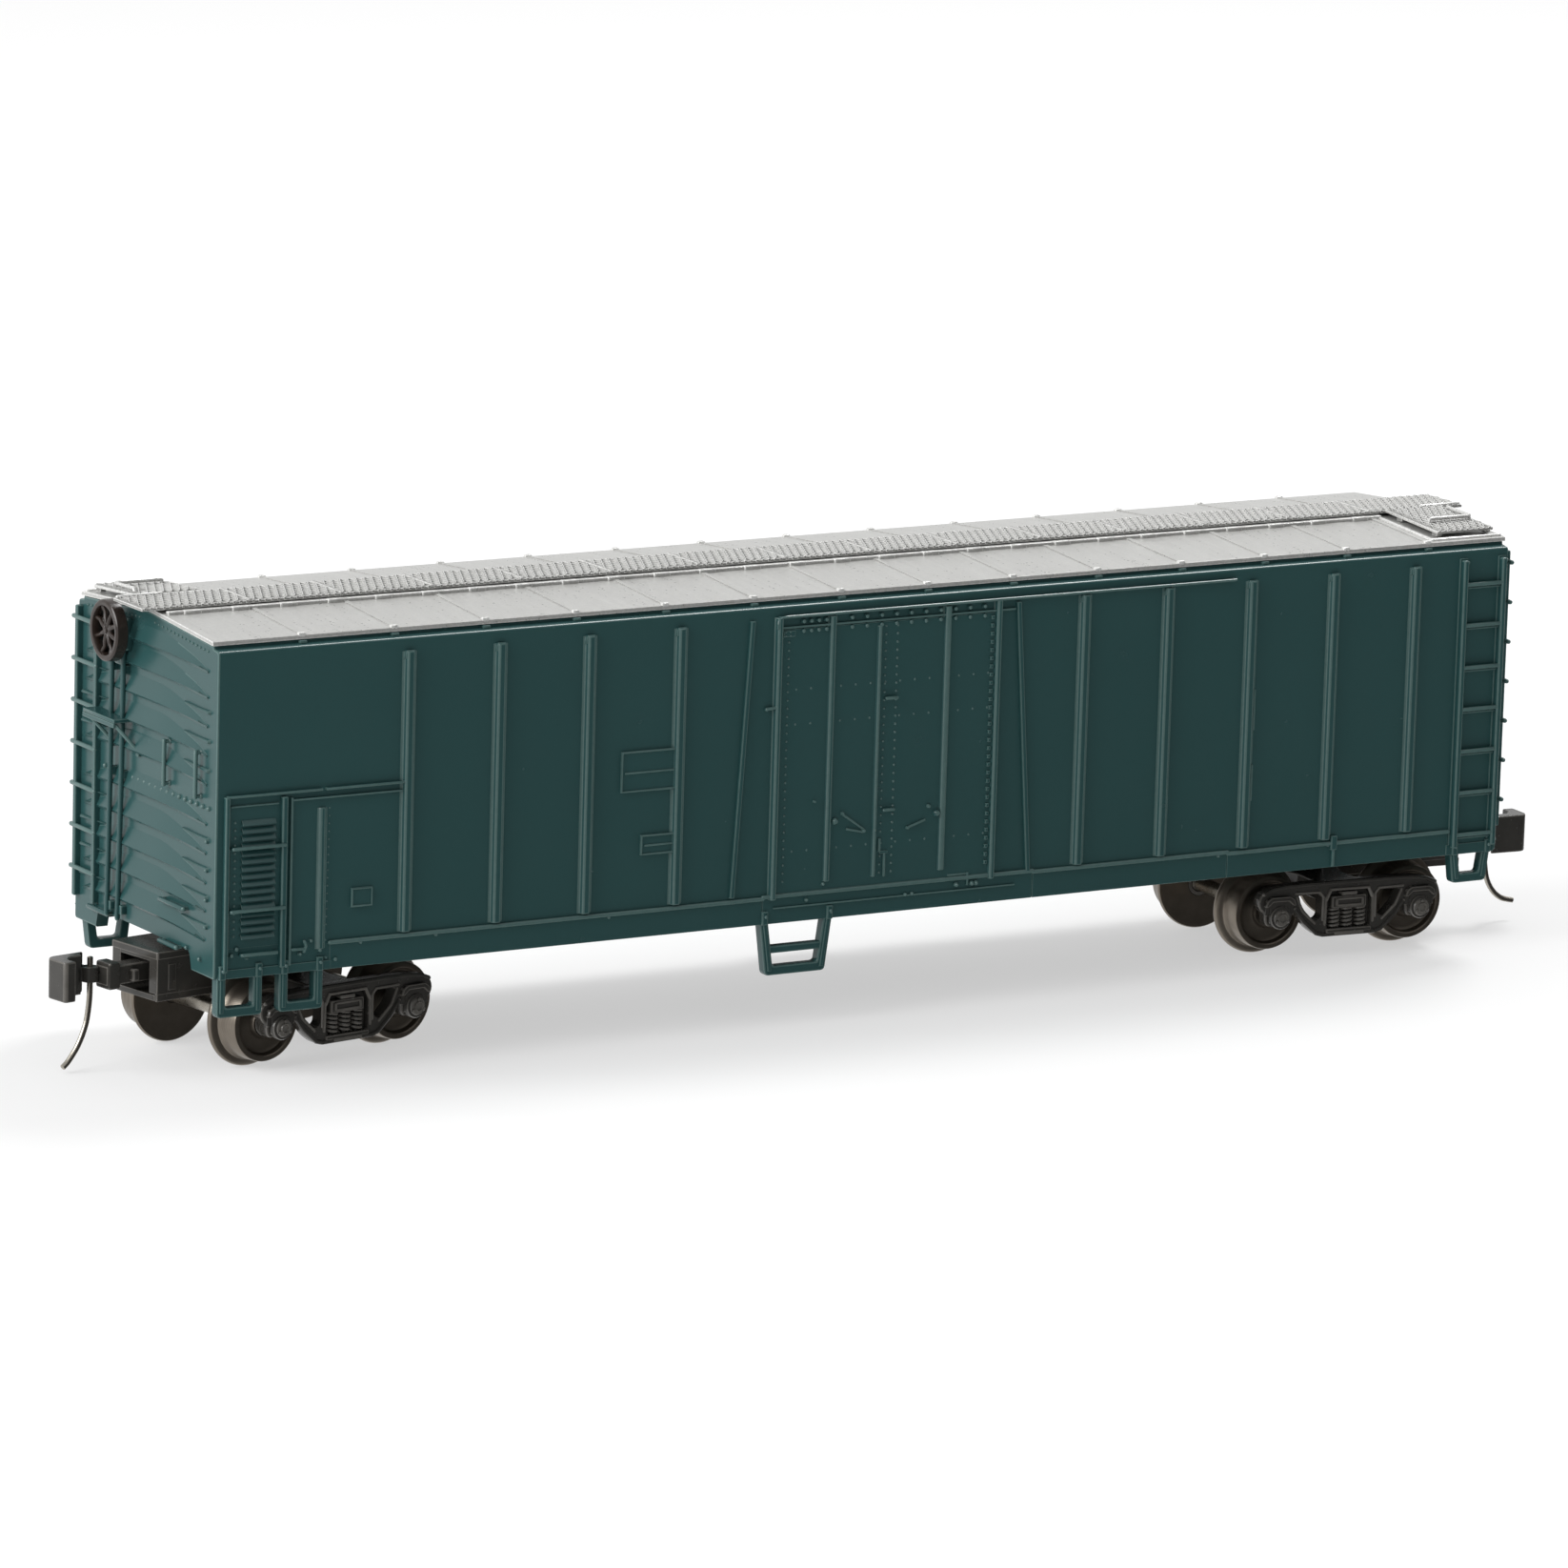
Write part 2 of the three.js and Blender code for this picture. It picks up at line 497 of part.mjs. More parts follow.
function truckFrame() {
  const { bolsterLow, bolsterHigh, bolsterHalf, frameIn, pinHole, armHalf, armLow, riserHigh } = truck;
  const side = sideFrame();
  const bolster = box(-bolsterHalf, bolsterHalf, -frameIn - 0.2, frameIn + 0.2, bolsterLow, bolsterHigh);
  const arm = box(bolsterHalf - gap, pocket.back + gap, -armHalf, armHalf, armLow, bolsterHigh);
  const riser = box(pocket.back - 0.6, pocket.back + gap, -armHalf, armHalf, armLow, riserHigh);
  const hole = bar(pinHole, bolsterLow - past, bolsterHigh + past, 24);
  return cut(join([side, mirrorY(side), bolster, arm, riser, couplerPocket()]), [hole]);
}

function kingpinPiece() {
  const { head: r, headLow, shank, top } = kingpin;
  return bar(r, headLow, truck.bolsterLow - gap, 20).add(bar(shank, headLow, top, 20));
}

function wheelPiece(bore) {
  const { tread, flange, back, face, hub } = wheel;
  const profile = [
    [bore, back], [flange - 0.2, back], [flange, back + 0.14], [flange, back + 0.36], [tread, back + 0.75],
    [tread - 0.08, face], [tread - 0.5, face], [tread - 0.62, face - 0.45],
    [hub, face - 0.45], [hub, face - 0.05], [bore, face - 0.05], [bore, back],
  ];
  return turned(profile, wheel.segments);
}

function bushPiece() {
  const { back, face, bore, bush } = wheel;
  return turned([[bore, back], [bush - gap, back], [bush - gap, face], [bore, face], [bore, back]], 16);
}

function axlePiece() {
  const { middle, seat, journal, cone, tip, seatGap } = axle;
  const s = seat - seatGap;
  return turned([
    [0, -tip], [journal, -cone], [journal, -wheel.face], [s, -wheel.face], [s, -wheel.back],
    [middle, -wheel.back + 0.2], [middle, wheel.back - 0.2], [s, wheel.back], [s, wheel.face],
    [journal, wheel.face], [journal, cone], [0, tip],
  ], 14);
}

// ---- coupler: shank and head, knuckle, trip pin, spring and pocket lid ----
function couplerShank() {
  const { low, high, shankLow, shankHigh, shankHalf, ring, play } = coupler;
  const { back, front, half, guardFront, guardIn, pivotX, pivotY, slotIn, slotLow, slotHigh } = head;
  const pivotHole = bar(pocket.post + play, low - past, high + past, 16).translate([pocket.pivot, 0, 0]);
  const eye = bar(ring, shankLow, shankHigh, 18).translate([pocket.pivot, 0, 0]);
  const shank = box(pocket.pivot, back + 0.2, -shankHalf, shankHalf, shankLow, shankHigh);
  const block = plate([
    [back, -half], [pivotX, -half], [pivotX, slotIn], [front, slotIn], [front, guardIn], [guardFront, half - 0.25],
    [guardFront, half], [back, half],
  ], low, high);
  const lugs = bar(hook.lug, low, high, 16).translate([pivotX, pivotY, 0]);
  const slot = box(back - 0.02, guardFront + past, -half - past, slotIn, slotLow, slotHigh);
  const pinHole = bar(trip.wire + 0.06, low - past, high + past, 10).translate([pivotX, pivotY, 0]);
  return cut(join([eye, shank, block, lugs]), [pivotHole, slot, pinHole]);
}

function knucklePiece() {
  const { low, high } = coupler;
  const { pivotX, pivotY } = head;
  const { inner, outer, spineOut, spineIn, noseEnd, lug, sweep } = hook;
  const hookSolid = plate([
    [pivotX + 0.1, spineOut], [outer - 0.4, spineOut], [outer, spineOut + 0.4], [outer, noseEnd - 0.15],
    [outer - 0.15, noseEnd], [inner, noseEnd], [inner, spineIn + 0.5], [inner - 0.5, spineIn], [pivotX + 0.1, spineIn],
  ], low, high);
  const [tongueLow, tongueHigh] = [head.slotLow + gap, head.slotHigh - gap];
  const tongue = bar(lug - 0.04, tongueLow, tongueHigh, 16).translate([pivotX, pivotY, 0])
    .add(box(pivotX, pivotX + 0.9, spineOut + 0.1, spineIn, tongueLow, tongueHigh));
  const clear = bar(sweep, low - past, high + past, 20).translate([pivotX, pivotY, 0]);
  const pinHole = bar(trip.wire + 0.02, low - past, high + past, 10).translate([pivotX, pivotY, 0]);
  return cut(cut(hookSolid, [clear]).add(tongue), [pinHole]);
}

// steel wire: straight through the knuckle, then curving outward to just above the rail
function tripPin(bend) {
  const { pivotX, pivotY } = head;
  const points = [[0, trip.top], [0, 6.0], [0, 4.9], [0.08, 4.0], ...bend].map(([x, z]) =>
    new THREE.Vector3(pivotX + x, pivotY, z));
  const section = new THREE.Shape();
  section.absarc(0, 0, trip.wire, 0, Math.PI * 2, false);
  const path = new THREE.CatmullRomCurve3(points, false, 'centripetal');
  return solid(new THREE.ExtrudeGeometry(section, {
    steps: trip.steps, curveSegments: trip.sides, bevelEnabled: false, extrudePath: path,
  }));
}

function centringSpring() {
  const { back, wall, pivot } = pocket;
  const { turns, radius, wire: thick, stepsPerTurn, endGap } = spring;
  const x0 = back + wall + endGap;
  const x1 = pivot - coupler.ring - endGap;
  const middle = (coupler.shankLow + coupler.shankHigh) / 2;
  const points = Array.from({ length: turns * stepsPerTurn + 1 }, (_, i) => {
    const angle = (i / stepsPerTurn) * Math.PI * 2;
    const x = x0 + ((x1 - x0) * i) / (turns * stepsPerTurn);
    return new THREE.Vector3(x, radius * Math.cos(angle), middle + radius * Math.sin(angle));
  });
  const wire = new THREE.Shape();
  wire.absarc(0, 0, thick, 0, Math.PI * 2, false);
  return solid(new THREE.ExtrudeGeometry(wire, {
    steps: turns * stepsPerTurn, curveSegments: 3, bevelEnabled: false,
    extrudePath: new THREE.CatmullRomCurve3(points),
  }));
}

function pocketLid() {
  const { back, front, half, low, lidInset: inset, lid } = pocket;
  return box(back + inset, front - gap, -half + inset, half - inset, low, low + lid);
}

// ---- assembly ----
const car = new THREE.Group();
car.name = 'box_car';
car.add(
  node('body_shell', bodyShell(), teal()),
  node('roof_panel', roofPanel(), silver()),
  node('running_board', runningBoard(), silver()),
  node('underframe', underframe(), blackPlastic()),
  node('ballast_plate', ballastPlate(), brightSteel()),
);

const wheelNode = node('brake_wheel', brakeWheel(), brownPlastic());
wheelNode.position.set(handwheel.x, handwheel.y, handwheel.z);
car.add(wheelNode);

function wheelset(end, place, x) {
  const set = new THREE.Group();
  const left = node(`${end}_${place}_wheel_insulated`, wheelPiece(wheel.bush), wheelMetal());
  const right = node(`${end}_${place}_wheel_plain`, mirrorY(wheelPiece(wheel.bore)), wheelMetal());
  set.add(left, right, node(`${end}_${place}_bush`, bushPiece(), blackPlastic()));
  set.add(node(`${end}_${place}_axle`, axlePiece(), brightSteel()));
  set.position.set(x, 0, axleHeight);
  return set;
}

const pinBends = {
  b: [[0.3, 2.9], [0.85, 1.7], [1.6, 0.75], [2.1, 0.33]],
  a: [[0.3, 2.95], [0.8, 2.1], [1.5, 1.55], [2.45, 1.3]],
};

function truckAssembly(end) {
  const group = new THREE.Group();
  group.add(
    node(`${end}_truck_frame`, truckFrame(), blackPlastic()),
    node(`${end}_kingpin`, kingpinPiece(), blackPlastic()),
    wheelset(end, 'outer', axleX), wheelset(end, 'inner', -axleX),
    node(`${end}_coupler_shank`, couplerShank(), blackPlastic()),
    node(`${end}_knuckle`, knucklePiece(), blackPlastic()),
    node(`${end}_trip_pin`, tripPin(pinBends[end]), brightSteel()),
    node(`${end}_centring_spring`, centringSpring(), brightSteel()),
    node(`${end}_pocket_lid`, pocketLid(), blackPlastic()),
  );
  return group;
}

const plainEnd = truckAssembly('a');
plainEnd.position.x = truck.centre;
plainEnd.rotation.z = THREE.MathUtils.degToRad(-swing.plainEnd);
const brakeEnd = truckAssembly('b');
brakeEnd.position.x = -truck.centre;
brakeEnd.rotation.z = THREE.MathUtils.degToRad(180 + swing.brakeEnd);
car.add(plainEnd, brakeEnd);

export default car;
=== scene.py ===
import itertools
import json
import math

import bmesh
import bpy
from mathutils import Matrix, Vector


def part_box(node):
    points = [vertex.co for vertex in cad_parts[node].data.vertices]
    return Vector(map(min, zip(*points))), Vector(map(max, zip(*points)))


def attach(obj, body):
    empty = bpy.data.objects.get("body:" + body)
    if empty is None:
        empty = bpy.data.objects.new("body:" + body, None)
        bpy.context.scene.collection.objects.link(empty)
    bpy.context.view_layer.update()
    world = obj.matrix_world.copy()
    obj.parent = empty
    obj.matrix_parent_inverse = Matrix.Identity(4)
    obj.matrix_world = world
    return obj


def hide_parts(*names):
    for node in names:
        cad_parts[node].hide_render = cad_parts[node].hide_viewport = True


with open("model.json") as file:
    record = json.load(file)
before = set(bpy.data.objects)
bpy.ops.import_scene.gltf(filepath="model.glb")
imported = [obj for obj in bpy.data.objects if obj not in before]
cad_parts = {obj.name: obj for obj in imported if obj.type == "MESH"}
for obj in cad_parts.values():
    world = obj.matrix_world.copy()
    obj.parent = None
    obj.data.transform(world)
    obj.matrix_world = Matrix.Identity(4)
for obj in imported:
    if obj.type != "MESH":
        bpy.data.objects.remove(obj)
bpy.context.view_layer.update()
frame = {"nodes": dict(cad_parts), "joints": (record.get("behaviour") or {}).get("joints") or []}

mm = 0.001
print("frame loaded with", len(frame["nodes"]), "nodes")


def span(node):
    # lowest and highest corner of a frame node, in millimetres
    low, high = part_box(node)
    return low / mm, high / mm


def pivot(joint):
    # where a joint turns, in millimetres
    found = next(j for j in frame["joints"] if j["name"] == joint)
    return Vector(found["pos_m"]) / mm


shellHigh = span("body_shell")[1]
roofLow, roofHigh = span("roof_panel")
panHigh = span("underframe")[1]
boardHigh = span("running_board")[1]

# the body's driving sizes, read off the frame's boxes
car = {
    "end": shellHigh.x - 0.5,          # half the length over the end walls
    "side": shellHigh.y - 0.5,         # half the width over the side walls
    "sill": panHigh.z - 1.95,          # underside of the side sills
    "ledge": 27.9,                     # where the side wall turns in
    "fascia": roofLow.z + 0.8,         # top of the band under the eave
    "fasciaSide": shellHigh.y - 1.2,   # half the width over that band
    "ridge": shellHigh.z,              # top of the gable
}
wall = -car["side"]


def leftOf(vector):
    return Vector((-vector.y, vector.x))


def shrink(outline, inset):
    # the outline with every edge moved inward, corners kept mitred
    points = [Vector(p) for p in outline]
    made = []
    for index, point in enumerate(points):
        before = leftOf((point - points[index - 1]).normalized())
        after = leftOf((points[(index + 1) % len(points)] - point).normalized())
        middle = (before + after).normalized()
        made.append(point + middle * inset / max(middle.dot(before), 0.35))
    return made


def anticlockwise(outline):
    points = [Vector(p) for p in outline]
    area = sum(a.x * b.y - b.x * a.y for a, b in zip(points, points[1:] + points[:1]))
    return points if area > 0 else points[::-1]


def softened(outline, radius, steps=3):
    # an outline together with the radius that each of its corners is to get
    radii = list(radius) if isinstance(radius, (list, tuple)) else [radius] * len(outline)
    return [Vector(p) for p in outline], radii, steps


def rounded(points, radii, steps, trim):
    # corners turned into short arcs; every ring of a shape gets the same number of points
    made = []
    for index, corner in enumerate(points):
        if not radii[index]:
            made.append(corner)
            continue
        toBefore, toAfter = points[index - 1] - corner, points[(index + 1) % len(points)] - corner
        reach = max(min(radii[index] - trim, toBefore.length * 0.45, toAfter.length * 0.45), 0.004)
        start, stop = corner + toBefore.normalized() * reach, corner + toAfter.normalized() * reach
        for step in range(steps + 1):
            t = step / steps
            made.append(start * (1 - t) ** 2 + corner * 2 * t * (1 - t) + stop * t ** 2)
    return made


def arc(centre, radius, start, stop, steps):
    # points along an arc, angles in degrees
    angles = [math.radians(start + (stop - start) * k / steps) for k in range(steps + 1)]
    return [(centre[0] + radius * math.cos(a), centre[1] + radius * math.sin(a)) for a in angles]


def roundedBoxTemplate():
    # the surface of a 4 x 4 x 4 lattice: which corner a point belongs to, and its way out from it
    steps = [(-1, -1), (-1, 0), (1, 0), (1, 1)]
    numbers, points, faces = {}, [], []
    for key in itertools.product(range(4), repeat=3):
        if 0 in key or 3 in key:
            corner = Vector([steps[k][0] for k in key])
            numbers[key] = len(points)
            points.append((corner, Vector([steps[k][1] for k in key]).normalized()))
    for axis, side, u, v in itertools.product(range(3), (0, 3), range(3), range(3)):
        ring = []
        for a, b in ((u, v), (u + 1, v), (u + 1, v + 1), (u, v + 1)):
            key = [a, b]
            key.insert(axis, side)
            ring.append(numbers[tuple(key)])
        faces.append(ring)
    return points, faces


boxPoints, boxFaces = roundedBoxTemplate()
edgeWidth = 0.1                        # faces narrower than this count as edges


class Mould:
    # closed shapes in millimetres, gathered and then cast as one mesh
    def __init__(self):
        self.points = []
        self.faces = []
        self.place = Matrix.Identity(4)

    def add(self, points, faces):
        first = len(self.points)
        self.points += [self.place @ Vector(p) for p in points]
        self.faces += [[first + i for i in face] for face in faces]

    def block(self, low, high, edge=0.06):
        # a box with rounded edges
        low, high = Vector(low), Vector(high)
        edge = min(edge, 0.49 * min(high - low))
        middle, half = (low + high) / 2, (high - low) / 2 - Vector((edge, edge, edge))
        points = [middle + Vector(c * h for c, h in zip(corner, half)) + out * edge
                  for corner, out in boxPoints]
        self.add(points, boxFaces)

    def prism(self, outline, axis, low, high, edge=0.06):
        # an outline pushed along an axis, its two ends rounded off
        outline, radii, steps = outline if isinstance(outline, tuple) else (outline, [0] * len(outline), 1)
        if anticlockwise(outline) != [Vector(p) for p in outline]:
            outline, radii = outline[::-1], radii[::-1]
        orders = {
            "x": lambda u, v, w: (w, u, v),
            "y": lambda u, v, w: (u, w, v),
            "z": lambda u, v, w: (u, v, w),
        }
        order = orders[axis]
        cuts = [(low, edge), (low + 0.29 * edge, 0.29 * edge), (low + edge, 0)] if edge else [(low, 0)]
        cuts += [(low + high - along, inset) for along, inset in reversed(cuts)]
        points, faces = [], []
        for along, inset in cuts:
            ring = rounded(shrink(outline, inset), radii, steps, inset)
            points += [order(p.x, p.y, along) for p in ring]
        count = len(ring)
        for layer in range(len(cuts) - 1):
            for k in range(count):
                n = (k + 1) % count
                a, b = layer * count, (layer + 1) * count
                faces.append([a + k, a + n, b + n, b + k])
        last = (len(cuts) - 1) * count
        faces += [list(range(count))[::-1], list(range(last, last + count))]
        self.add(points, faces)

    def lathe(self, profile, centre, along=(0, 0, 1), turns=40, closed=False):
        # (radius, height) pairs turned about an axis through centre
        up = Vector(along).normalized()
        side = up.orthogonal().normalized()
        front = up.cross(side)
        rings, points, faces = [], [], []
        for radius, height in profile:
            base = Vector(centre) + up * height
            if radius < 1e-6:
                rings.append([len(points)])
                points.append(base)
                continue
            rings.append(list(range(len(points), len(points) + turns)))
            for k in range(turns):
                angle = math.tau * k / turns
                points.append(base + (side * math.cos(angle) + front * math.sin(angle)) * radius)
        pairs = list(zip(rings, rings[1:])) + ([(rings[-1], rings[0])] if closed else [])
        for low, high in pairs:
            for k in range(turns):
                n = (k + 1) % turns
                ring = [low[k % len(low)], low[n % len(low)], high[n % len(high)], high[k % len(high)]]
                ring = list(dict.fromkeys(ring))
                if len(ring) > 2:
                    faces.append(ring)
        self.add(points, faces)

    def tube(self, path, radius, sides=10, cap=1.0):
        # a round wire along a path, its ends domed
        path = [Vector(p) for p in path]
        ahead = [(b - a).normalized() for a, b in zip(path, path[1:])]
        ways = [ahead[0]] + [(a + b).normalized() for a, b in zip(ahead, ahead[1:])] + [ahead[-1]]
        reach = radius * cap
        rings = [(path[0] - ways[0] * reach * math.sin(t), radius * math.cos(t), 0) for t in (1.15, 0.6)]
        rings += [(p, radius, k) for k, p in enumerate(path)]
        rings += [(path[-1] + ways[-1] * reach * math.sin(t), radius * math.cos(t), -1) for t in (0.6, 1.15)]
        side = ways[0].orthogonal().normalized()
        points, faces = [path[0] - ways[0] * reach], []
        angles = [math.tau * s / sides for s in range(sides)]
        for centre, size, k in rings:
            way = ways[k]
            side = (side - way * side.dot(way)).normalized()
            front = way.cross(side)
            points += [centre + (side * math.cos(a) + front * math.sin(a)) * size for a in angles]
        points.append(path[-1] + ways[-1] * reach)
        last = len(points) - 1
        for s in range(sides):
            n = (s + 1) % sides
            faces.append([0, 1 + n, 1 + s])
            for layer in range(len(rings) - 1):
                a, b = 1 + layer * sides, 1 + (layer + 1) * sides
                faces.append([a + s, a + n, b + n, b + s])
            faces.append([last, last - sides + s, last - sides + n])
        self.add(points, faces)

    def rod(self, start, stop, radius, sides=10, cap=0.6):
        self.tube([start, stop], radius, sides, cap)

    def rivet(self, place, facing=(0, -1, 0), radius=0.13, rise=0.09):
        # a low domed head, sunk a little into what it sits on
        profile = [(0, -0.05), (radius, -0.05), (radius, 0), (radius * 0.82, rise * 0.6),
                   (radius * 0.42, rise * 0.93), (0, rise)]
        self.lathe(profile, place, facing, turns=8)

    def wedge(self, outline, base, top, inset, facing):
        # an outline raised on sloping sides; facing maps (u, v, height) to a point
        outline = anticlockwise(outline)
        rings = [(base, 0), (top - 0.3 * (top - base), inset * 0.75), (top, inset * 1.15)]
        count, points, faces = len(outline), [], []
        for height, step in rings:
            points += [facing(p.x, p.y, height) for p in shrink(outline, step)]
        for layer in range(len(rings) - 1):
            for k in range(count):
                n = (k + 1) % count
                a, b = layer * count, (layer + 1) * count
                faces.append([a + k, a + n, b + n, b + k])
        faces += [list(range(count))[::-1], list(range(2 * count, 3 * count))]
        self.add(points, faces)

    def mesh(self, name):
        made = bpy.data.meshes.new(name)
        made.from_pydata(self.points, [], self.faces)
        work = bmesh.new()
        work.from_mesh(made)
        bmesh.ops.recalc_face_normals(work, faces=work.faces)
        work.to_mesh(made)
        work.free()
        return made

    def carve(self, cutters):
        # takes the cutters' shapes out of this one
        names = ("blank", "cutter")
        blank, cutter = [bpy.data.objects.new(n, m.mesh(n)) for n, m in zip(names, (self, cutters))]
        for thing in (blank, cutter):
            bpy.context.scene.collection.objects.link(thing)
        trim = blank.modifiers.new("trim", "BOOLEAN")
        trim.operation, trim.solver, trim.object = "DIFFERENCE", "EXACT", cutter
        bpy.context.view_layer.update()
        seen = blank.evaluated_get(bpy.context.evaluated_depsgraph_get()).to_mesh()
        self.points = [v.co.copy() for v in seen.vertices]
        self.faces = [list(p.vertices) for p in seen.polygons]
        for thing in (blank, cutter):
            bpy.data.objects.remove(thing)

    def cast(self, name, body, slot, stands=(), centre=(0, 0, 0), sharp=38, finish=None):
        # the finished piece: smooth-shaded, painted, riding on its body
        centre = Vector(centre)
        self.points = [p - centre for p in self.points]
        made = self.mesh(name)
        # narrow faces on raised edges are flagged here, and the finishes paint a highlight on them
        narrow = made.attributes.new("raisedEdge", "FLOAT", "FACE")
        for face, spot in zip(made.polygons, narrow.data):
            corners = [made.vertices[v].co for v in face.vertices]
            longest = max((a - b).length for a, b in zip(corners, corners[1:] + corners[:1]))
            spot.value = 1.0 if face.area < edgeWidth * longest else 0.0
        made.transform(Matrix.Scale(mm, 4))
        made.shade_smooth()
        made.set_sharp_from_angle(angle=math.radians(sharp))
        made.materials.append(finishes[finish or slot])
        piece = bpy.data.objects.new(name, made)
        bpy.context.scene.collection.objects.link(piece)
        piece.location = centre * mm
        shading = piece.modifiers.new("even shading", "WEIGHTED_NORMAL")
        shading.keep_sharp = True
        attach(piece, body)
        if stands:
            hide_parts(*stands)
        return piece


class Signal:
    # a socket that sums can be written with
    def __init__(self, recipe, socket):
        self.recipe = recipe
        self.socket = socket

    def sum(self, operation, *values):
        return self.recipe.node("ShaderNodeMath", {"operation": operation}, dict(enumerate(values)))

    def __add__(self, other):
        return self.sum("ADD", self, other)

    def __sub__(self, other):
        return self.sum("SUBTRACT", self, other)

    def __rsub__(self, other):
        return self.sum("SUBTRACT", other, self)

    def __mul__(self, other):
        return self.sum("MULTIPLY", self, other)

    def __pow__(self, other):
        return self.sum("POWER", self, other)

    __radd__ = __add__
    __rmul__ = __mul__


class Recipe:
    # a tree of nodes, all made by a single method
    def __init__(self, owner):
        owner.use_nodes = True
        self.tree = owner.node_tree

    def node(self, kind, settings=None, sockets=None, output=0):
        made = self.tree.nodes.new(kind)
        for setting, value in (settings or {}).items():
            if setting == "stops":
                ramp = made.color_ramp.elements
                elements = [ramp[0], ramp[1]] + [ramp.new(0.5) for _ in value[2:]]
                for element, (place, shade) in zip(elements, value):
                    element.position, element.color = place, (*shade, 1)
            else:
                setattr(made, setting, value)
        for socket, value in (sockets or {}).items():
            if isinstance(value, Signal):
                self.tree.links.new(value.socket, made.inputs[socket])
            else:
                made.inputs[socket].default_value = value
        return Signal(self, made.outputs[output])


class Finish(Recipe):
    # one material; uniform values are given by the names of the shader's sockets
    def __init__(self, name, **fixed):
        self.material = bpy.data.materials.new(name)
        super().__init__(self.material)
        self.shader = next(n for n in self.tree.nodes if n.type == "BSDF_PRINCIPLED")
        for socket, value in fixed.items():
            self.shader.inputs[socket.replace("_", " ")].default_value = value

    def feed(self, socket, signal):
        self.tree.links.new(signal.socket, self.shader.inputs[socket])

    def place(self):
        return self.node("ShaderNodeTexCoord", output="Object")

    def noise(self, size, detail=3.0, vector=None, roughness=0.5):
        # soft speckle whose grains are about size millimetres across
        sockets = {"Vector": vector or self.place(), "Scale": 1 / (size * mm), "Detail": detail,
                   "Roughness": roughness}
        return self.node("ShaderNodeTexNoise", {}, sockets, "Fac")

    def between(self, factor, first, second):
        first, second = [c if isinstance(c, Signal) else (*c, 1) for c in (first, second)]
        return self.node("ShaderNodeMix", {"data_type": "RGBA"}, {0: factor, 6: first, 7: second}, 2)

    def edges(self):
        # 0 on flats, 1 on the narrow faces of raised edges, where the finishes paint a highlight in place of
        # the light those edges catch
        return self.node("ShaderNodeAttribute", {"attribute_name": "raisedEdge"}, output="Fac")

    def bump(self, height, strength, distance):
        sockets = {"Height": height, "Strength": strength, "Distance": distance * mm}
        self.feed("Normal", self.node("ShaderNodeBump", {}, sockets))


tealPaint = {
    "deep": (0.0205, 0.0665, 0.0665),
    "fresh": (0.0238, 0.0740, 0.0740),
    "roughness": (0.20, 0.30),
    "gloss": 0.5,
    # edge and edgeShare: lighter teal painted as a highlight along raised edges, and how strongly
    "edge": (0.120, 0.195, 0.183),
    "edgeShare": 0.62,
    "orangePeel": 0.0035,              # height of the paint's ripple, in millimetres
}


def mixTealPaint():
    made = Finish("teal paint", Specular_IOR_Level=tealPaint["gloss"])
    cloud = made.noise(9.0, 2)
    speckle = made.noise(0.35, 3)
    coat = made.between(cloud * 0.75 + speckle * 0.25, tealPaint["deep"], tealPaint["fresh"])
    # painted highlight: narrow faces of raised edges lightened toward the edge colour, in place of the light
    # they catch
    wornAndHighlit = made.edges() * tealPaint["edgeShare"] * (0.6 + 0.4 * speckle)
    made.feed("Base Color", made.between(wornAndHighlit, coat, tealPaint["edge"]))
    low, high = tealPaint["roughness"]
    made.feed("Roughness", low + (high - low) * made.noise(1.6, 3))
    made.bump(made.noise(0.16, 2) + made.noise(0.9, 1) * 0.6, 0.35, tealPaint["orangePeel"])
    return made.material


silverPaint = {
    "shade": (0.350, 0.350, 0.338),
    "light": (0.590, 0.590, 0.571),
    # edge and edgeShare: near-white painted highlight on the narrow faces of raised edges, and how strongly
    "edge": (0.90, 0.90, 0.88),
    "edgeShare": 0.8,
    # hole: painted shade for the plate between the strands, standing in for the shadowed holes of a real
    # mesh
    "hole": (0.23, 0.23, 0.222),       # between the strands of the running board
    "roughness": (0.24, 0.42),
    "metallic": 0.30,
    "flake": 0.11,
}


def mixSilverPaint(name, shadedHoles=False):
    made = Finish(name, Metallic=silverPaint["metallic"])
    sockets = {"Vector": made.place(), "Scale": 1 / (silverPaint["flake"] * mm)}
    flakes = made.node("ShaderNodeTexVoronoi", {}, sockets, "Color")
    glint = made.node("ShaderNodeSeparateColor", {}, {0: flakes}, 0)
    stretched = made.node("ShaderNodeVectorMath", {"operation": "MULTIPLY"},
                          {0: made.place(), 1: (1, 0.07, 1)})
    streak = made.noise(0.4, 3, stretched)
    cloud = made.noise(5.0, 3) * 0.3 + streak * 0.7
    # with shaded holes the plain faces run from painted shade up to the shade tone, so the solid plate reads
    # as shadowed holes
    dark, pale = ("hole", "shade") if shadedHoles else ("shade", "light")
    coat = made.between(glint * 0.35 + cloud * 0.65, silverPaint[dark], silverPaint[pale])
    # painted highlight: narrow edge faces lightened toward near-white, in place of glints
    raised = made.edges() * silverPaint["edgeShare"] * (0.55 + 0.45 * glint)
    made.feed("Base Color", made.between(raised, coat, silverPaint["edge"]))
    low, high = silverPaint["roughness"]
    made.feed("Roughness", low + (high - low) * (glint * 0.6 + cloud * 0.4))
    made.bump(made.noise(0.12, 2) + glint * 0.35 + streak * 0.8, 0.5, 0.009)
    return made.material


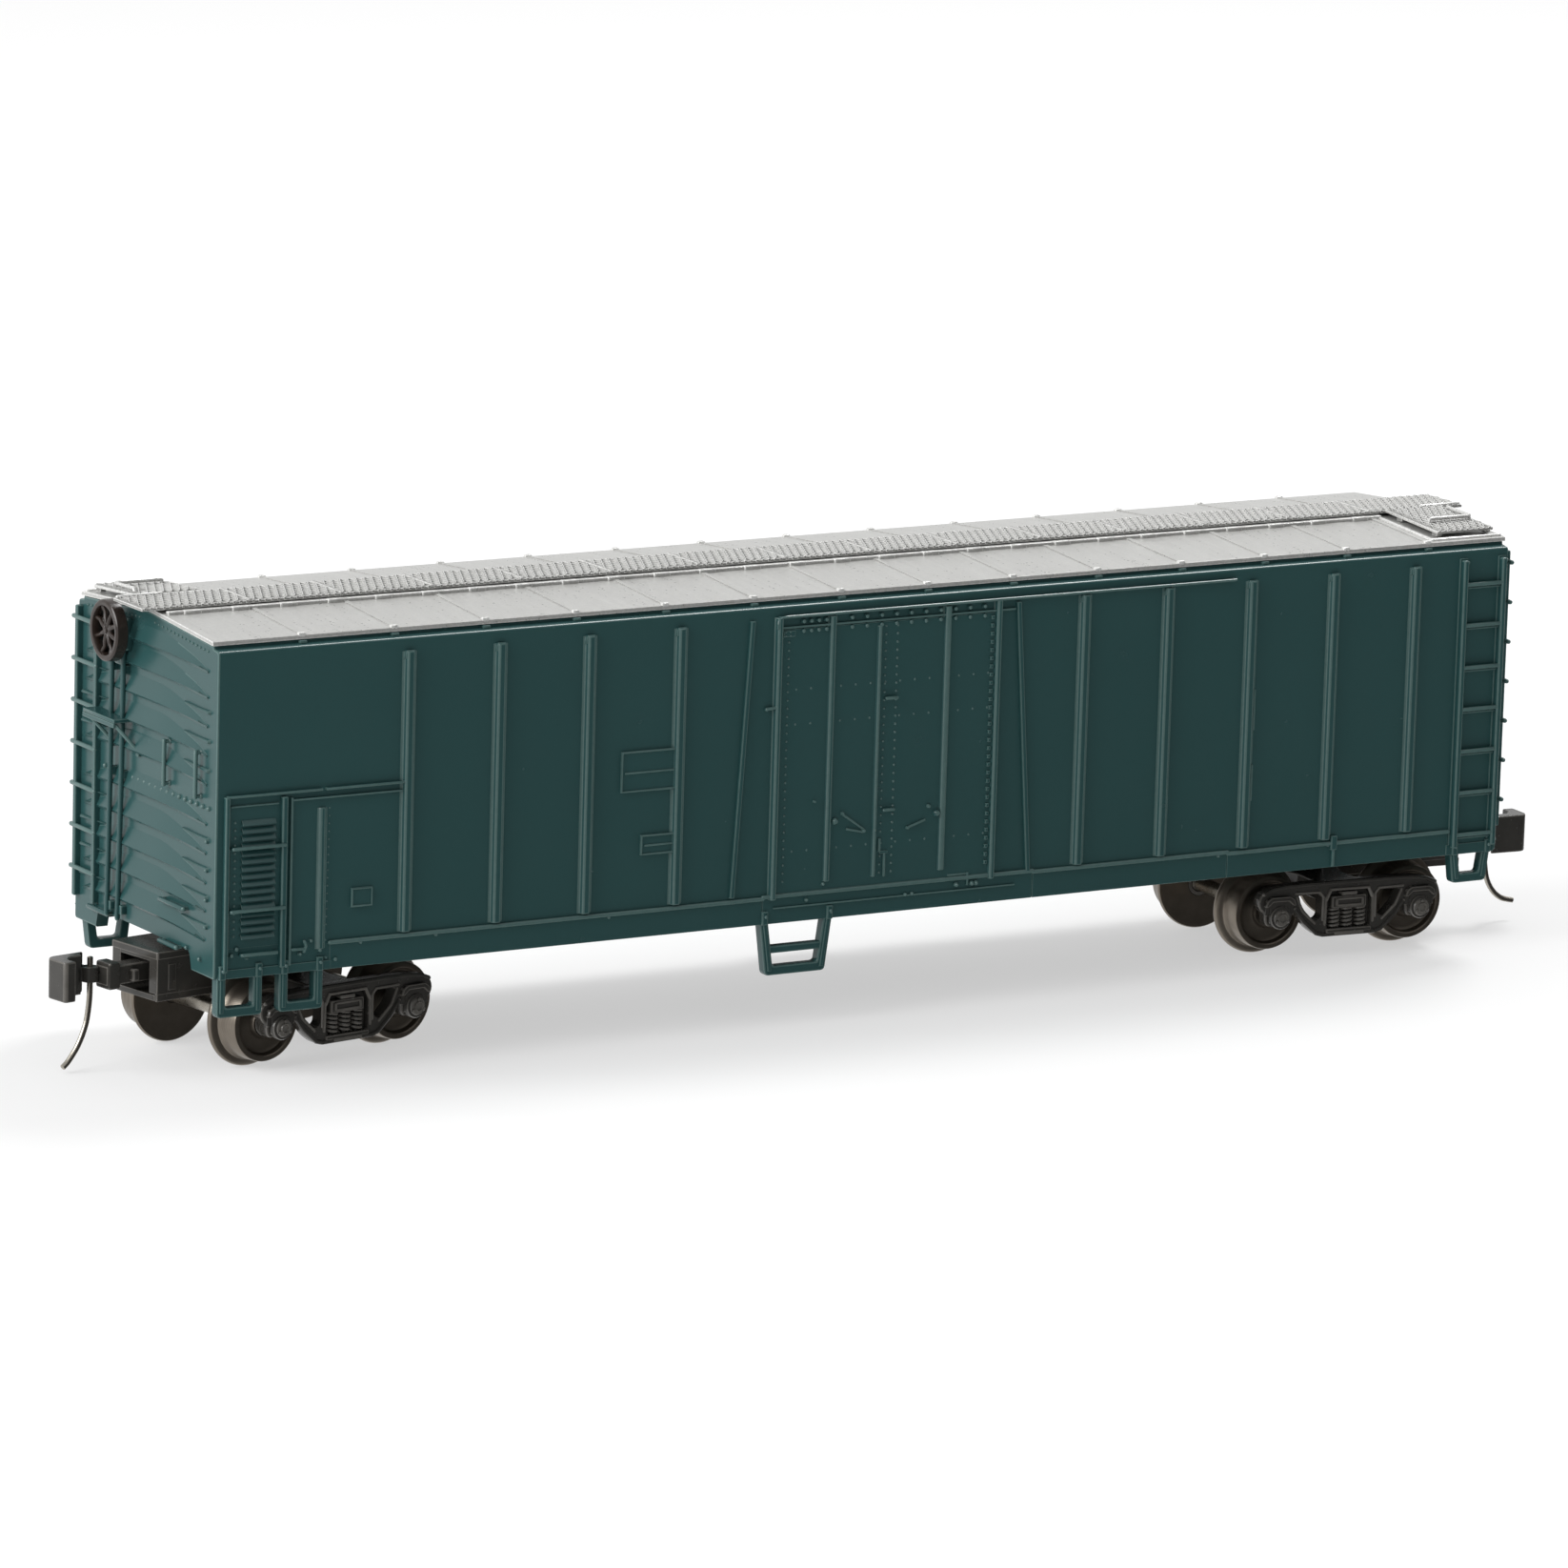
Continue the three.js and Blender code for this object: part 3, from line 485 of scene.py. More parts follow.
blackPlastic = {
    "deep": (0.0260, 0.0248, 0.0225),
    "wornAndHighlit": (0.0480, 0.0455, 0.0405),
    # edge: lighter colour painted as a highlight on raised edges
    "edge": (0.150, 0.141, 0.127),
    "roughness": (0.18, 0.32),
    "gloss": 0.55,
}


def mixBlackPlastic():
    made = Finish("black plastic", Specular_IOR_Level=blackPlastic["gloss"])
    cloud = made.noise(1.3, 4)
    coat = made.between(cloud, blackPlastic["deep"], blackPlastic["wornAndHighlit"])
    # painted highlight on the narrow faces of raised edges, its strength varied by the cloud
    rubbedAndHighlit = made.edges() * (0.3 + 0.6 * cloud)
    made.feed("Base Color", made.between(rubbedAndHighlit, coat, blackPlastic["edge"]))
    low, high = blackPlastic["roughness"]
    made.feed("Roughness", low + (high - low) * made.noise(0.5, 3))
    made.bump(made.noise(0.22, 3), 0.3, 0.012)
    return made.material


brownPlastic = {
    "deep": (0.0105, 0.0072, 0.0058),
    "light": (0.0360, 0.0250, 0.0195),
    "roughness": (0.18, 0.30),
}


def mixBrownPlastic():
    made = Finish("brown plastic")
    made.feed("Base Color", made.between(made.noise(0.6, 3), brownPlastic["deep"], brownPlastic["light"]))
    low, high = brownPlastic["roughness"]
    made.feed("Roughness", low + (high - low) * made.noise(0.3, 2))
    made.bump(made.noise(0.15, 2), 0.25, 0.008)
    return made.material


blackenedMetal = {
    "deep": (0.170, 0.146, 0.120),
    "rubbedAndHighlit": (0.310, 0.275, 0.230),
    "roughness": (0.24, 0.42),
    "toolMark": 0.055,                 # spacing of the turning marks, in millimetres
}


def mixBlackenedMetal():
    made = Finish("blackened metal", Metallic=0.92)
    place = made.place()
    apart = made.node("ShaderNodeSeparateXYZ", {}, {0: place})
    x, z = apart, Signal(made, apart.socket.node.outputs["Z"])
    radius = (x * x + z * z) ** 0.5
    marks = made.node("ShaderNodeMath", {"operation": "SINE"},
                      {0: radius * (math.tau / (blackenedMetal["toolMark"] * mm))})
    streak = made.noise(0.9, 4) * 0.7 + marks * 0.10
    made.feed("Base Color", made.between(streak, blackenedMetal["deep"], blackenedMetal["rubbedAndHighlit"]))
    low, high = blackenedMetal["roughness"]
    made.feed("Roughness", low + (high - low) * made.noise(0.7, 3))
    made.bump(marks * 0.5 + made.noise(0.3, 3) * 0.5, 0.35, 0.006)
    return made.material


brightSteel = {
    "deep": (0.33, 0.30, 0.25),
    "bright": (0.56, 0.53, 0.47),
    "roughness": (0.20, 0.38),
}


def mixBrightSteel():
    made = Finish("bright steel", Metallic=1.0)
    cloud = made.noise(0.55, 4)
    made.feed("Base Color", made.between(cloud, brightSteel["deep"], brightSteel["bright"]))
    low, high = brightSteel["roughness"]
    made.feed("Roughness", low + (high - low) * made.noise(0.25, 3))
    made.bump(made.noise(0.12, 3), 0.3, 0.006)
    return made.material


finishes = {
    "teal_paint": mixTealPaint(),
    "silver_paint": mixSilverPaint("silver paint"),
    "silver_mesh_painted_shade": mixSilverPaint("silver mesh with painted shade", shadedHoles=True),
    "black_plastic": mixBlackPlastic(),
    "brown_plastic": mixBrownPlastic(),
    "blackened_metal": mixBlackenedMetal(),
    "bright_steel": mixBrightSteel(),
}
print("finishes mixed:", len(finishes))

halfTurn = Matrix.Rotation(math.pi, 4, "Z")


shell = {
    "wall": 0.85,
    "ceiling": 27.2,
    "cornerEdge": 0.12,
    "notchHalf": 6.4,                  # the gap for the coupler in each end wall
    "notchRise": 1.25,
}


def shellWalls():
    made = Mould()
    side, ledge, sill = car["side"], car["ledge"], car["sill"]
    band, fascia, end = car["fasciaSide"], car["fascia"], car["end"]
    half = [(side, sill), (side, ledge), (band, ledge + 0.12), (band, fascia)]
    outline = half + [(0, car["ridge"])] + [(-u, v) for u, v in reversed(half)]
    soft = [0.25, 0.2, 0, 0, 0.6, 0, 0, 0.2, 0.25]
    made.prism(softened(outline, soft, 3), "x", -end, end, shell["cornerEdge"])
    tools = Mould()
    inX, inY = end - shell["wall"], side - shell["wall"]
    tools.block((-inX, -inY, sill - 2), (inX, inY, shell["ceiling"]), 0.2)
    made.carve(tools)
    for sign in (-1, 1):
        notch = Mould()
        low, high = sorted((sign * (inX - 1), sign * (end + 1)))
        rise = sill + shell["notchRise"]
        outline = [(-shell["notchHalf"] - 0.6, sill - 1), (shell["notchHalf"] + 0.6, sill - 1),
                   (shell["notchHalf"], rise), (-shell["notchHalf"], rise)]
        notch.prism(softened(outline, 0.4), "x", low, high, 0)
        made.carve(notch)
    return made


rib = {
    "right": [15.03, 21.55, 28.12, 34.67, 41.24],
    "left": [-35.27, -28.73, -22.22, -15.55],
    "low": 8.95,
    "high": 27.08,
    "crest": 0.25,                     # half widths of the crest and of the flange at its foot
    "flange": 0.52,
    "proud": 0.36,
}


def addPost(made, x, low, high, crest, flange, proud):
    # an upright with a flat crest and a thin flange at its foot
    slope = crest + 0.11
    outline = [(x - flange, wall + 0.1), (x - flange, wall - 0.02), (x - slope, wall - 0.05),
               (x - crest, wall - proud), (x + crest, wall - proud), (x + slope, wall - 0.05),
               (x + flange, wall - 0.02), (x + flange, wall + 0.1)]
    made.prism(softened(outline, [0, 0, 0.08, 0.12, 0.12, 0.08, 0, 0], 3), "z", low, high, 0.09)


def addCappedRib(made, x):
    addPost(made, x, rib["low"], rib["high"], rib["crest"], rib["flange"], rib["proud"])
    top = rib["high"]
    for across, height, proud in ((0.46, 0.34, 0.13), (0.38, 0.2, 0.24)):
        bow = arc((x, top - height), across, 180, 0, 8)
        outline = [(x - across, top - 0.5)] + bow + [(x + across, top - 0.5)]
        made.prism([(u, min(v, top + 0.05)) for u, v in outline], "y", wall - proud, wall + 0.1, 0.07)


root = 0.1                             # how deep raised details are set into the wall they sit on


def addPads(made, pads):
    # flat pads on the side wall: left, right, low, high, proud, depth behind the wall's face, edge
    for left, right, low, high, proud, behind, edge in pads:
        made.block((left, wall - proud, low), (right, wall + behind, high), edge)


def addRods(made, rods):
    # thin rods along the side wall: two ends as (across, proud, height), then the radius
    for (x0, proud0, z0), (x1, proud1, z1), radius in rods:
        made.rod((x0, wall - proud0, z0), (x1, wall - proud1, z1), radius, 8)


door = {
    "half": 8.42,
    "low": 8.95,
    "panelProud": 0.1,
    "rail": 27.3,                      # the bright top edge of the track
    "railEnd": 26.7,
    "railProud": 0.27,
    "railRadius": 0.085,
    # in from the left post, down from the track
    "curl": [(-0.08, 0.75), (-0.02, 0.3), (0.22, 0.07), (0.6, 0.03)],
    "lowerRail": 26.52,
    "lowerRailEnd": 9.6,
    "postsIn": (0.13, 0.1),            # how far in from its two edges the posts stand
    "post": (0.17, 0.34, 0.36),        # half widths of crest and flange, then proud
    "ribs": [(-4.27, 0.17, 27.1), (-0.73, 0.09, 26.2), (4.45, 0.17, 27.1)],     # across, half crest, top
    "braces": [((-10.28, 27.15), (-11.34, 8.97)), ((9.84, 27.0), (11.19, 8.82))],
    "braceHalf": 0.17,
    "rivetProud": 0.09,
    "topRows": (26.87, 26.24),
    "topRivets": [(-6.5, 0.57, 4), (-2.86, 1.12, 11)],                  # first, pitch, count
    "column": (9.75, 0.545, 31),       # first, pitch, count
    "columns": [(-0.24, 0.09, 0.1), (0.65, 0.1, 0.09), (-7.55, 0.09, 0.1)],     # across, radius, rise
    "clips": (7.72, 7.98, 0.14),       # left, right, half height
    "crossRows": (11.7, 20.1, 22.4),
    "crossRivets": (-6.9, 1.12, 14),
    "latch": (-8.0, -7.1, 25.9, 26.33),
    "latchRivets": ((-7.85, -7.5), (26.0, 26.24)),
}


def addDoor(made):
    half, low, rail, lowerRail = (door[k] for k in ("half", "low", "rail", "lowerRail"))
    addPads(made, [(-half + 0.3, half - 0.3, low, lowerRail - 0.1, door["panelProud"], root, 0.05)])
    for x in (-half + door["postsIn"][0], half - door["postsIn"][1]):
        addPost(made, x, low - 0.35, rail - 0.05, *door["post"])
    # the track over the door and the panels to its right, curling down into the left post
    front = wall - door["railProud"]
    curl = [(-half + u, front, rail - drop) for u, drop in door["curl"]]
    made.tube(curl + [(door["railEnd"], front, curl[-1][2])], door["railRadius"], 8)
    addPads(made, [(-half + 0.1, door["railEnd"], rail - 0.16, rail, 0.24, root, 0.05),
                   (-half + 0.35, door["lowerRailEnd"], lowerRail - 0.07, lowerRail + 0.08, 0.2, root,
                    0.05)])
    for x, crest, top in door["ribs"]:
        addPost(made, x, low + 0.55, top, crest, crest + 0.2, 0.3)
    for (x0, z0), (x1, z1) in door["braces"]:
        lean = door["braceHalf"]
        outline = [(x0 - lean, z0), (x1 - lean, z1), (x1 + lean, z1), (x0 + lean, z0)]
        made.prism(softened(outline, 0.08, 2), "y", wall - 0.24, wall + root, 0.08)
    skin = wall - door["rivetProud"]
    ribPlaces = [x for x, crest, top in door["ribs"]]
    for first, pitch, count in door["topRivets"]:
        for k, z in itertools.product(range(count), door["topRows"]):
            x = first + pitch * k
            if abs(x - ribPlaces[-1]) > 0.35:
                made.rivet((x, skin, z), radius=0.17, rise=0.2)
    first, pitch, count = door["column"]
    left, right, tall = door["clips"]
    for k in range(count):
        z = first + pitch * k
        for x, radius, rise in door["columns"]:
            made.rivet((x, skin, z), radius=radius, rise=rise)
        addPads(made, [(left, right, z - tall, z + tall, 0.24, 0, 0.06)])
    first, pitch, count = door["crossRivets"]
    for k, z in itertools.product(range(count), door["crossRows"]):
        x = first + pitch * k
        if min(abs(x - place) for place in ribPlaces) > 0.4:
            made.rivet((x, skin, z), radius=0.09, rise=0.05)
    addPads(made, [(*door["latch"], 0.2, 0, 0.06)])
    for x, z in itertools.product(*door["latchRivets"]):
        made.rivet((x, wall - 0.19, z), radius=0.07, rise=0.07)


lock = {
    "rodRadius": 0.11,
    "standoff": 0.34,
    "hasps": [(-0.2, 0.64, 21.34), (-0.17, 0.62, 13.92)],               # left, right, height
    "rods": [((-3.25, 0.17, 13.92), (-1.5, 0.17, 12.72), 0.085),
             ((-2.85, 0.17, 12.86), (-1.55, 0.17, 12.56), 0.085),
             ((1.75, 0.17, 12.56), (3.1, 0.17, 12.98), 0.085),
             ((-9.1, 0.13, 21.27), (-8.5, 0.2, 21.33), 0.11),
             ((0.07, 0.16, 10.98), (0.09, 0.16, 9.5), 0.1)],
    "bosses": [(-3.74, 13.45, 0.24), (-3.2, 13.93, 0.12), (-1.55, 12.65, 0.15), (4.0, 13.36, 0.27),
               (3.36, 13.87, 0.14), (1.78, 12.56, 0.11), (-5.35, 14.89, 0.1)],  # across, height, radius
    "pads": [(-0.42, -0.22, 11.12, 12.05, 0.22, 0, 0.05), (-0.3, 0.32, 11.0, 11.2, 0.22, 0, 0.05),
             (4.98, 6.6, 9.02, 9.17, 0.16, 0, 0.05), (6.45, 6.6, 8.3, 9.2, 0.2, 0, 0.05),
             (28.5, 28.68, 12.1, 14.6, 0.14, 0.05, 0.05), (28.5, 28.68, 16.9, 19.7, 0.14, 0.05, 0.05)],
    "eye": (-9.1, 21.24),
    "nuts": [(5.67, 8.42), (6.86, 8.42), (7.18, 8.42)],
    "rivets": [(-4.5, 9.35), (-5.73, 8.4), (-3.83, 7.45), (1.79, 8.1), (2.3, 8.12)],
}


def addDoorLock(made):
    # hasps, hand levers and the small plates at the foot of the door
    face, size = wall - lock["standoff"], lock["rodRadius"]
    for x0, x1, z in lock["hasps"]:
        made.rod((x0, face, z), (x1, face, z), size, 8)
        for x in (x0 + 0.08, x1 - 0.08):
            made.rod((x, face, z), (x, wall, z), size * 0.8, 6)
    addRods(made, lock["rods"])
    for x, z, radius in lock["bosses"]:
        boss = [(0, -0.1), (radius, -0.1), (radius, 0.16), (radius * 0.6, 0.3), (0, 0.32)]
        made.lathe(boss, (x, wall - 0.03, z), (0, -1, 0), 12)
    addPads(made, lock["pads"])
    x, z = lock["eye"]
    made.rivet((x, wall, z), radius=0.15, rise=0.26)
    for x, z in lock["nuts"]:
        nut = [(0, -0.1), (0.16, -0.1), (0.16, 0.1), (0.08, 0.2), (0, 0.21)]
        made.lathe(nut, (x, wall - 0.16, z), (0, -1, 0), 10)
    for x, z in lock["rivets"]:
        made.rivet((x, wall - 0.14, z), radius=0.13, rise=0.17)


sill = {
    "top": 1.77,
    "proud": 0.05,
    "bead": 0.15,
    # left, right, lift
    "joints": [(-40.6, -9.0, 0), (-8.95, 11.6, 0.1), (11.65, 26.9, 0.03), (26.95, 44.7, -0.07)],
    # heights of the pads are given from the sill's underside
    "pads": [(-48.4, -40.5, 0, 0.6, 0.1, 0.2, 0.05), (44.6, 48.5, 0, 0.75, 0.1, 0.2, 0.05),
             (-8.2, 10.2, 0.98, 1.1, 0.2, 0.2, 0.05), (35.1, 35.6, 1.2, 2.2, 0.3, 0, 0.08),
             (35.24, 35.46, 0.05, 1.25, 0.26, 0, 0.07)],
    "rivets": (34.98, 26.2, -38.4, -20.4, -33.0),
    "rivetHeight": 1.55,
}


def addSill(made):
    # lapped lengths, each with a bright rounded bead along its top
    low = car["sill"]
    for x0, x1, lift in sill["joints"]:
        top = low + sill["top"] + lift
        addPads(made, [(x0, x1, low, top, sill["proud"], 0.2, 0.04)])
        made.tube([(x0, wall - 0.1, top - 0.04), (x1, wall - 0.1, top - 0.04)], sill["bead"], 12)
    addPads(made, [(x0, x1, low + z0, low + z1, *rest) for x0, x1, z0, z1, *rest in sill["pads"]])
    for x in sill["rivets"]:
        made.rivet((x, wall - sill["proud"], low + sill["rivetHeight"]), radius=0.13, rise=0.16)


ladder = {
    "low": 7.5, "high": 27.3,
    "stiles": (45.1, 48.22),
    "rungs": [8.39, 11.29, 14.15, 17.04, 19.9, 22.8, 25.6],
    "stileHalf": 0.2, "footHalf": 0.32,
    "proud": 0.46, "rungRadius": 0.15,
}


def addSideLadder(made):
    first, last = ladder["stiles"]
    low, high, half, foot = (ladder[k] for k in ("low", "high", "stileHalf", "footHalf"))
    face = wall - ladder["proud"]
    for x in (first, last):
        outline = [(x - half, wall + root), (x - half, face), (x + half, face), (x + half, wall + root)]
        made.prism(softened(outline, [0, 0.12, 0.12, 0], 3), "z", low, high, 0.12)
        addPads(made, [(x - foot, x + foot, low, high + 0.1, 0.1, root, 0.06)])
        for z in (low + 0.35, high - 0.2):
            made.rivet((x + 0.3, wall - 0.06, z), radius=0.14, rise=0.22)
    for z in ladder["rungs"]:
        made.rod((first, face + 0.17, z), (last, face + 0.17, z), ladder["rungRadius"])
        addPads(made, [(first, last, z - 0.32, z - 0.2, 0.2, -0.02, 0.04)])


steps = {
    "thick": 0.62, "outer": 9.82, "inner": 9.06,
    # left, right, drop below the sill, taper of each leg, drop of a middle rung
    "hung": [(45.0, 48.3, 2.0, 0.3, 0.0), (-9.1, -3.6, 3.45, 0.5, 1.5), (-48.5, -45.3, 2.5, 0.0, 0.0),
             (-44.1, -41.0, 2.5, 0.0, 0.0)],
}


def addStirrup(made, x0, x1, drop, taper, rung):
    # a step hung under the sill on two legs, with bolt heads above them
    top, bottom, bar = car["sill"] + 0.4, car["sill"] - drop, steps["thick"]
    lean = taper * 0.9
    outline = [(x0, top), (x0 + taper, bottom), (x1 - taper, bottom), (x1, top), (x1 - bar, top),
               (x1 - bar - lean, bottom + bar), (x0 + bar + lean, bottom + bar), (x0 + bar, top)]
    soft = [0, 0.3, 0.3, 0, 0, 0.25, 0.25, 0]
    made.prism(softened(outline, soft, 3), "y", -steps["outer"], -steps["inner"], 0.1)
    if rung:
        lean = bar + taper * 0.4
        made.block((x0 + lean - 0.2, -steps["outer"] + 0.04, car["sill"] - rung - 0.5),
                   (x1 - lean + 0.2, -steps["inner"] - 0.04, car["sill"] - rung), 0.1)
    face = -steps["outer"]
    for x, lean in ((x0 + bar / 2, taper), (x1 - bar / 2, -taper)):
        outline = [(x - 0.13, top), (x - 0.13 + lean, bottom + 0.3), (x + 0.13 + lean, bottom + 0.3),
                   (x + 0.13, top)]
        made.prism(outline, "y", face - 0.09, face + 0.1, 0.05)
        addPads(made, [(x - 0.24, x + 0.24, top - 0.45, top + 0.5, 0.2, root, 0.1)])
        made.rivet((x, wall - 0.19, top + 0.15), radius=0.15, rise=0.2)


louvres = {
    "x0": -46.98, "x1": -44.62,
    "low": 9.6, "high": 17.35,
    "pitch": 0.486,
    "rake": 0.17,
    "hinges": -47.42,
    "posts": [(-48.06, 0.16, 18.7), (-44.02, 0.2, 18.45)],              # across, half width, top
    "postLow": 7.45, "postProud": 0.33,
    "pads": [(-43.58, -43.4, 7.5, 18.32, 0.22, 0.1, 0.06), (-48.05, -41.35, 18.58, 18.76, 0.28, 0.1, 0.06),
             (-41.1, -35.5, 18.58, 18.76, 0.28, 0.1, 0.06), (-47.8, -44.4, 17.96, 18.08, 0.16, 0.1, 0.05),
             (-43.4, -35.6, 18.06, 18.2, 0.2, 0.1, 0.05)],
    "backing": (-47.75, -44.2, 8.9, 18.1, 0.03, 0.05, 0.02),
    "grabs": [(-47.66, -44.02, 15.36), (-47.74, -44.02, 11.34), (-46.95, -44.5, 8.5)],  # left, right, height
    "grabRadius": 0.12, "grabProud": 0.36,
    "hatchPost": -41.28,
    # first, its height, two pitches, count
    "hatchRivets": (-40.74, 17.4, 0.008, 0.5, 18),
    "rod": [((-43.35, 0.22, 8.53), (-42.5, 0.22, 8.5), 0.1)],
    "hook": [(-42.5, 0.24, 8.35), (-42.38, 0.26, 8.7), (-42.5, 0.24, 9.0)],
    "studs": [(-41.98, 8.97, 0.15), (-42.72, 8.18, 0.14), (-47.24, 8.89, 0.17), (-47.58, 8.5, 0.16),
              (-48.0, 8.2, 0.17), (-46.5, 8.24, 0.12), (-41.32, 8.32, 0.17), (-40.22, 7.63, 0.16),
              (-40.9, 7.8, 0.1)],      # across, height, radius
}


def addLouvres(made):
    # a louvred door, its grab irons, the gap beside it and the plain hatch to its right
    rake = louvres["rake"]
    addPads(made, [louvres["backing"]])
    for k in range(int((louvres["high"] - louvres["low"]) / louvres["pitch"]) + 1):
        z = louvres["low"] + k * louvres["pitch"]
        outline = [(wall + root, z + 0.2), (wall - 0.03, z + 0.17), (wall - 0.06 - rake, z - 0.12),
                   (wall - 0.12 - rake, z - 0.1), (wall - 0.1, z + 0.2), (wall + root, z + 0.27)]
        made.prism(outline, "x", louvres["x0"], louvres["x1"], 0.03)
        made.rivet((louvres["hinges"], wall - 0.02, z + 0.1), radius=0.1, rise=0.1)
    face = wall - louvres["postProud"]
    for x, half, high in louvres["posts"]:
        outline = [(x - half, wall + root), (x - half, face), (x + half, face), (x + half, wall + root)]
        made.prism(softened(outline, [0, 0.1, 0.1, 0], 3), "z", louvres["postLow"], high, 0.1)
    addPads(made, louvres["pads"])
    face, radius = wall - louvres["grabProud"], louvres["grabRadius"]
    for x0, x1, z in louvres["grabs"]:
        made.rod((x0, face, z), (x1, face, z), radius, 8)
        for x in (x0, x1):
            made.rod((x, face, z), (x, wall, z), radius, 6)
    addPost(made, louvres["hatchPost"], 8.35, 17.5, 0.15, 0.36, 0.2)
    x, z, across, down, count = louvres["hatchRivets"]
    for k in range(count):
        made.rivet((x - across * k, wall + 0.01, z - down * k), radius=0.07, rise=0.05)
    addRods(made, louvres["rod"])
    made.tube([(x, wall - proud, z) for x, proud, z in louvres["hook"]], 0.1, 8)
    for x, z, radius in louvres["studs"]:
        made.rivet((x, wall - 0.05, z), radius=radius, rise=0.22)


placards = {
    "boards": [(-19.78, -15.8, 16.6, 19.3), (-18.22, -15.8, 12.4, 13.75)],      # left, right, low, high
    "rim": 0.085,
    "ledge": 0.075,
    "ledgeDown": 0.53,                 # share of the height
    "panel": (-39.16, -37.64, 10.85, 12.12, 0.12, 0.1, 0.04),
    "panelRim": (-39.1, -37.7, 10.93, 12.04),
}


def addPlacards(made):
    # board and tack frames: plain raised plates with a ledge along the top
    for x0, x1, low, high in placards["boards"]:
        addPads(made, [(x0, x1, low, high, 0.1, root, 0.05)])
        rim = [(x1, high - 0.07), (x0 + 0.07, high - 0.07), (x0 + 0.07, low + 0.07), (x1, low + 0.07)]
        made.tube([(x, wall - 0.13, z) for x, z in rim], placards["rim"], 8)
        ledge = high - (high - low) * placards["ledgeDown"]
        made.tube([(x0 + 0.35, wall - 0.12, ledge), (x1, wall - 0.12, ledge)], placards["ledge"], 8)
    addPads(made, [placards["panel"]])
    x0, x1, low, high = placards["panelRim"]
    rim = [(x0, low), (x0, high), (x1, high), (x1, low), (x0, low)]
    made.tube([(x, wall - 0.14, z) for x, z in rim], placards["ledge"], 8)


corrugation = {
    "rows": [9.6, 11.45, 13.25, 15.15, 17.0, 19.55, 21.4, 23.25, 25.1, 26.75],
    "noDarts": (4, 8, 9),
    "proud": 0.38, "tall": 1.2,
    "reach": 8.5, "middle": 2.4,       # how far each reaches from the middle, and its full-height part
    "dart": 0.2,
}


def addCorrugations(made):
    # each pressing is a lip over its own shadow that dies away to both sides, with short darts between
    face = -car["end"]
    reach, middle, proud, tall = (corrugation[k] for k in ("reach", "middle", "proud", "tall"))
    count = 16
    for row, z in enumerate(corrugation["rows"]):
        points, faces = [], []
        for k in range(count + 1):
            u = reach * (2 * k / count - 1)
            rise = min(1, max(0.0, (reach - abs(u)) / (reach - middle))) ** 0.7
            droop = 0.34 * max(0, (abs(u) - middle) / (reach - middle)) ** 1.6
            low, deep = z - droop, proud * (0.3 + 0.7 * rise)
            top = low + 0.12 + (min(tall, car["fascia"] - 0.4 - z)) * rise
            spot = low + (top - low) * 0.45
            points += [(face + 0.15, u, low + 0.06), (face - deep * 0.65, u, low - 0.03),
                       (face - deep, u, low + 0.13),
                       (face - deep * 0.5, u, spot), (face - deep * 0.1, u, top - 0.1 * (top - low)),
                       (face + 0.02, u, top), (face + 0.15, u, top)]
        ring = 7
        for k, r in itertools.product(range(count), range(ring)):
            n = (r + 1) % ring
            faces.append([k * ring + r, k * ring + n, (k + 1) * ring + n, (k + 1) * ring + r])
        faces += [list(range(ring)), list(range(count * ring, (count + 1) * ring))[::-1]]
        made.add(points, faces)
        if row in corrugation["noDarts"]:
            continue
        for sign in (-1, 1):
            centre = z + 0.78
            tip = arc((8.78, centre - 0.12), 0.19, -90, 90, 6)
            outline = [(5.2, centre + 0.04), (7.2, centre - 0.2)] + tip
            outline = [(sign * u, v) for u, v in outline + [(7.2, centre + 0.06)]]
            made.wedge(outline, face + 0.1, face - corrugation["dart"], 0.1, lambda u, v, h: (h, u, v))


endLadder = {
    "low": 8.6, "high": 27.6,
    "stiles": (6.6, 9.3),
    "stileHalf": 0.19, "proud": 0.42,
    "rungFirst": 10.5, "rungPitch": 2.72, "rungs": 7,
    "rungEnds": (6.55, 9.78), "rungRadius": 0.16,
}


def addEndLadder(made):
    # on the end wall, at the corner away from the side ladder's own side
    face, half = -car["end"], endLadder["stileHalf"]
    front = face - endLadder["proud"]
    for y in endLadder["stiles"]:
        outline = [(face + root, y - half), (front, y - half), (front, y + half), (face + root, y + half)]
        made.prism(softened(outline, [0, 0.1, 0.1, 0], 2), "z", endLadder["low"], endLadder["high"], 0.1)
    first, last = endLadder["rungEnds"]
    for k in range(endLadder["rungs"]):
        z = endLadder["rungFirst"] + k * endLadder["rungPitch"]
        made.rod((face - 0.32, first, z), (face - 0.32, last, z), endLadder["rungRadius"], 10, 1)


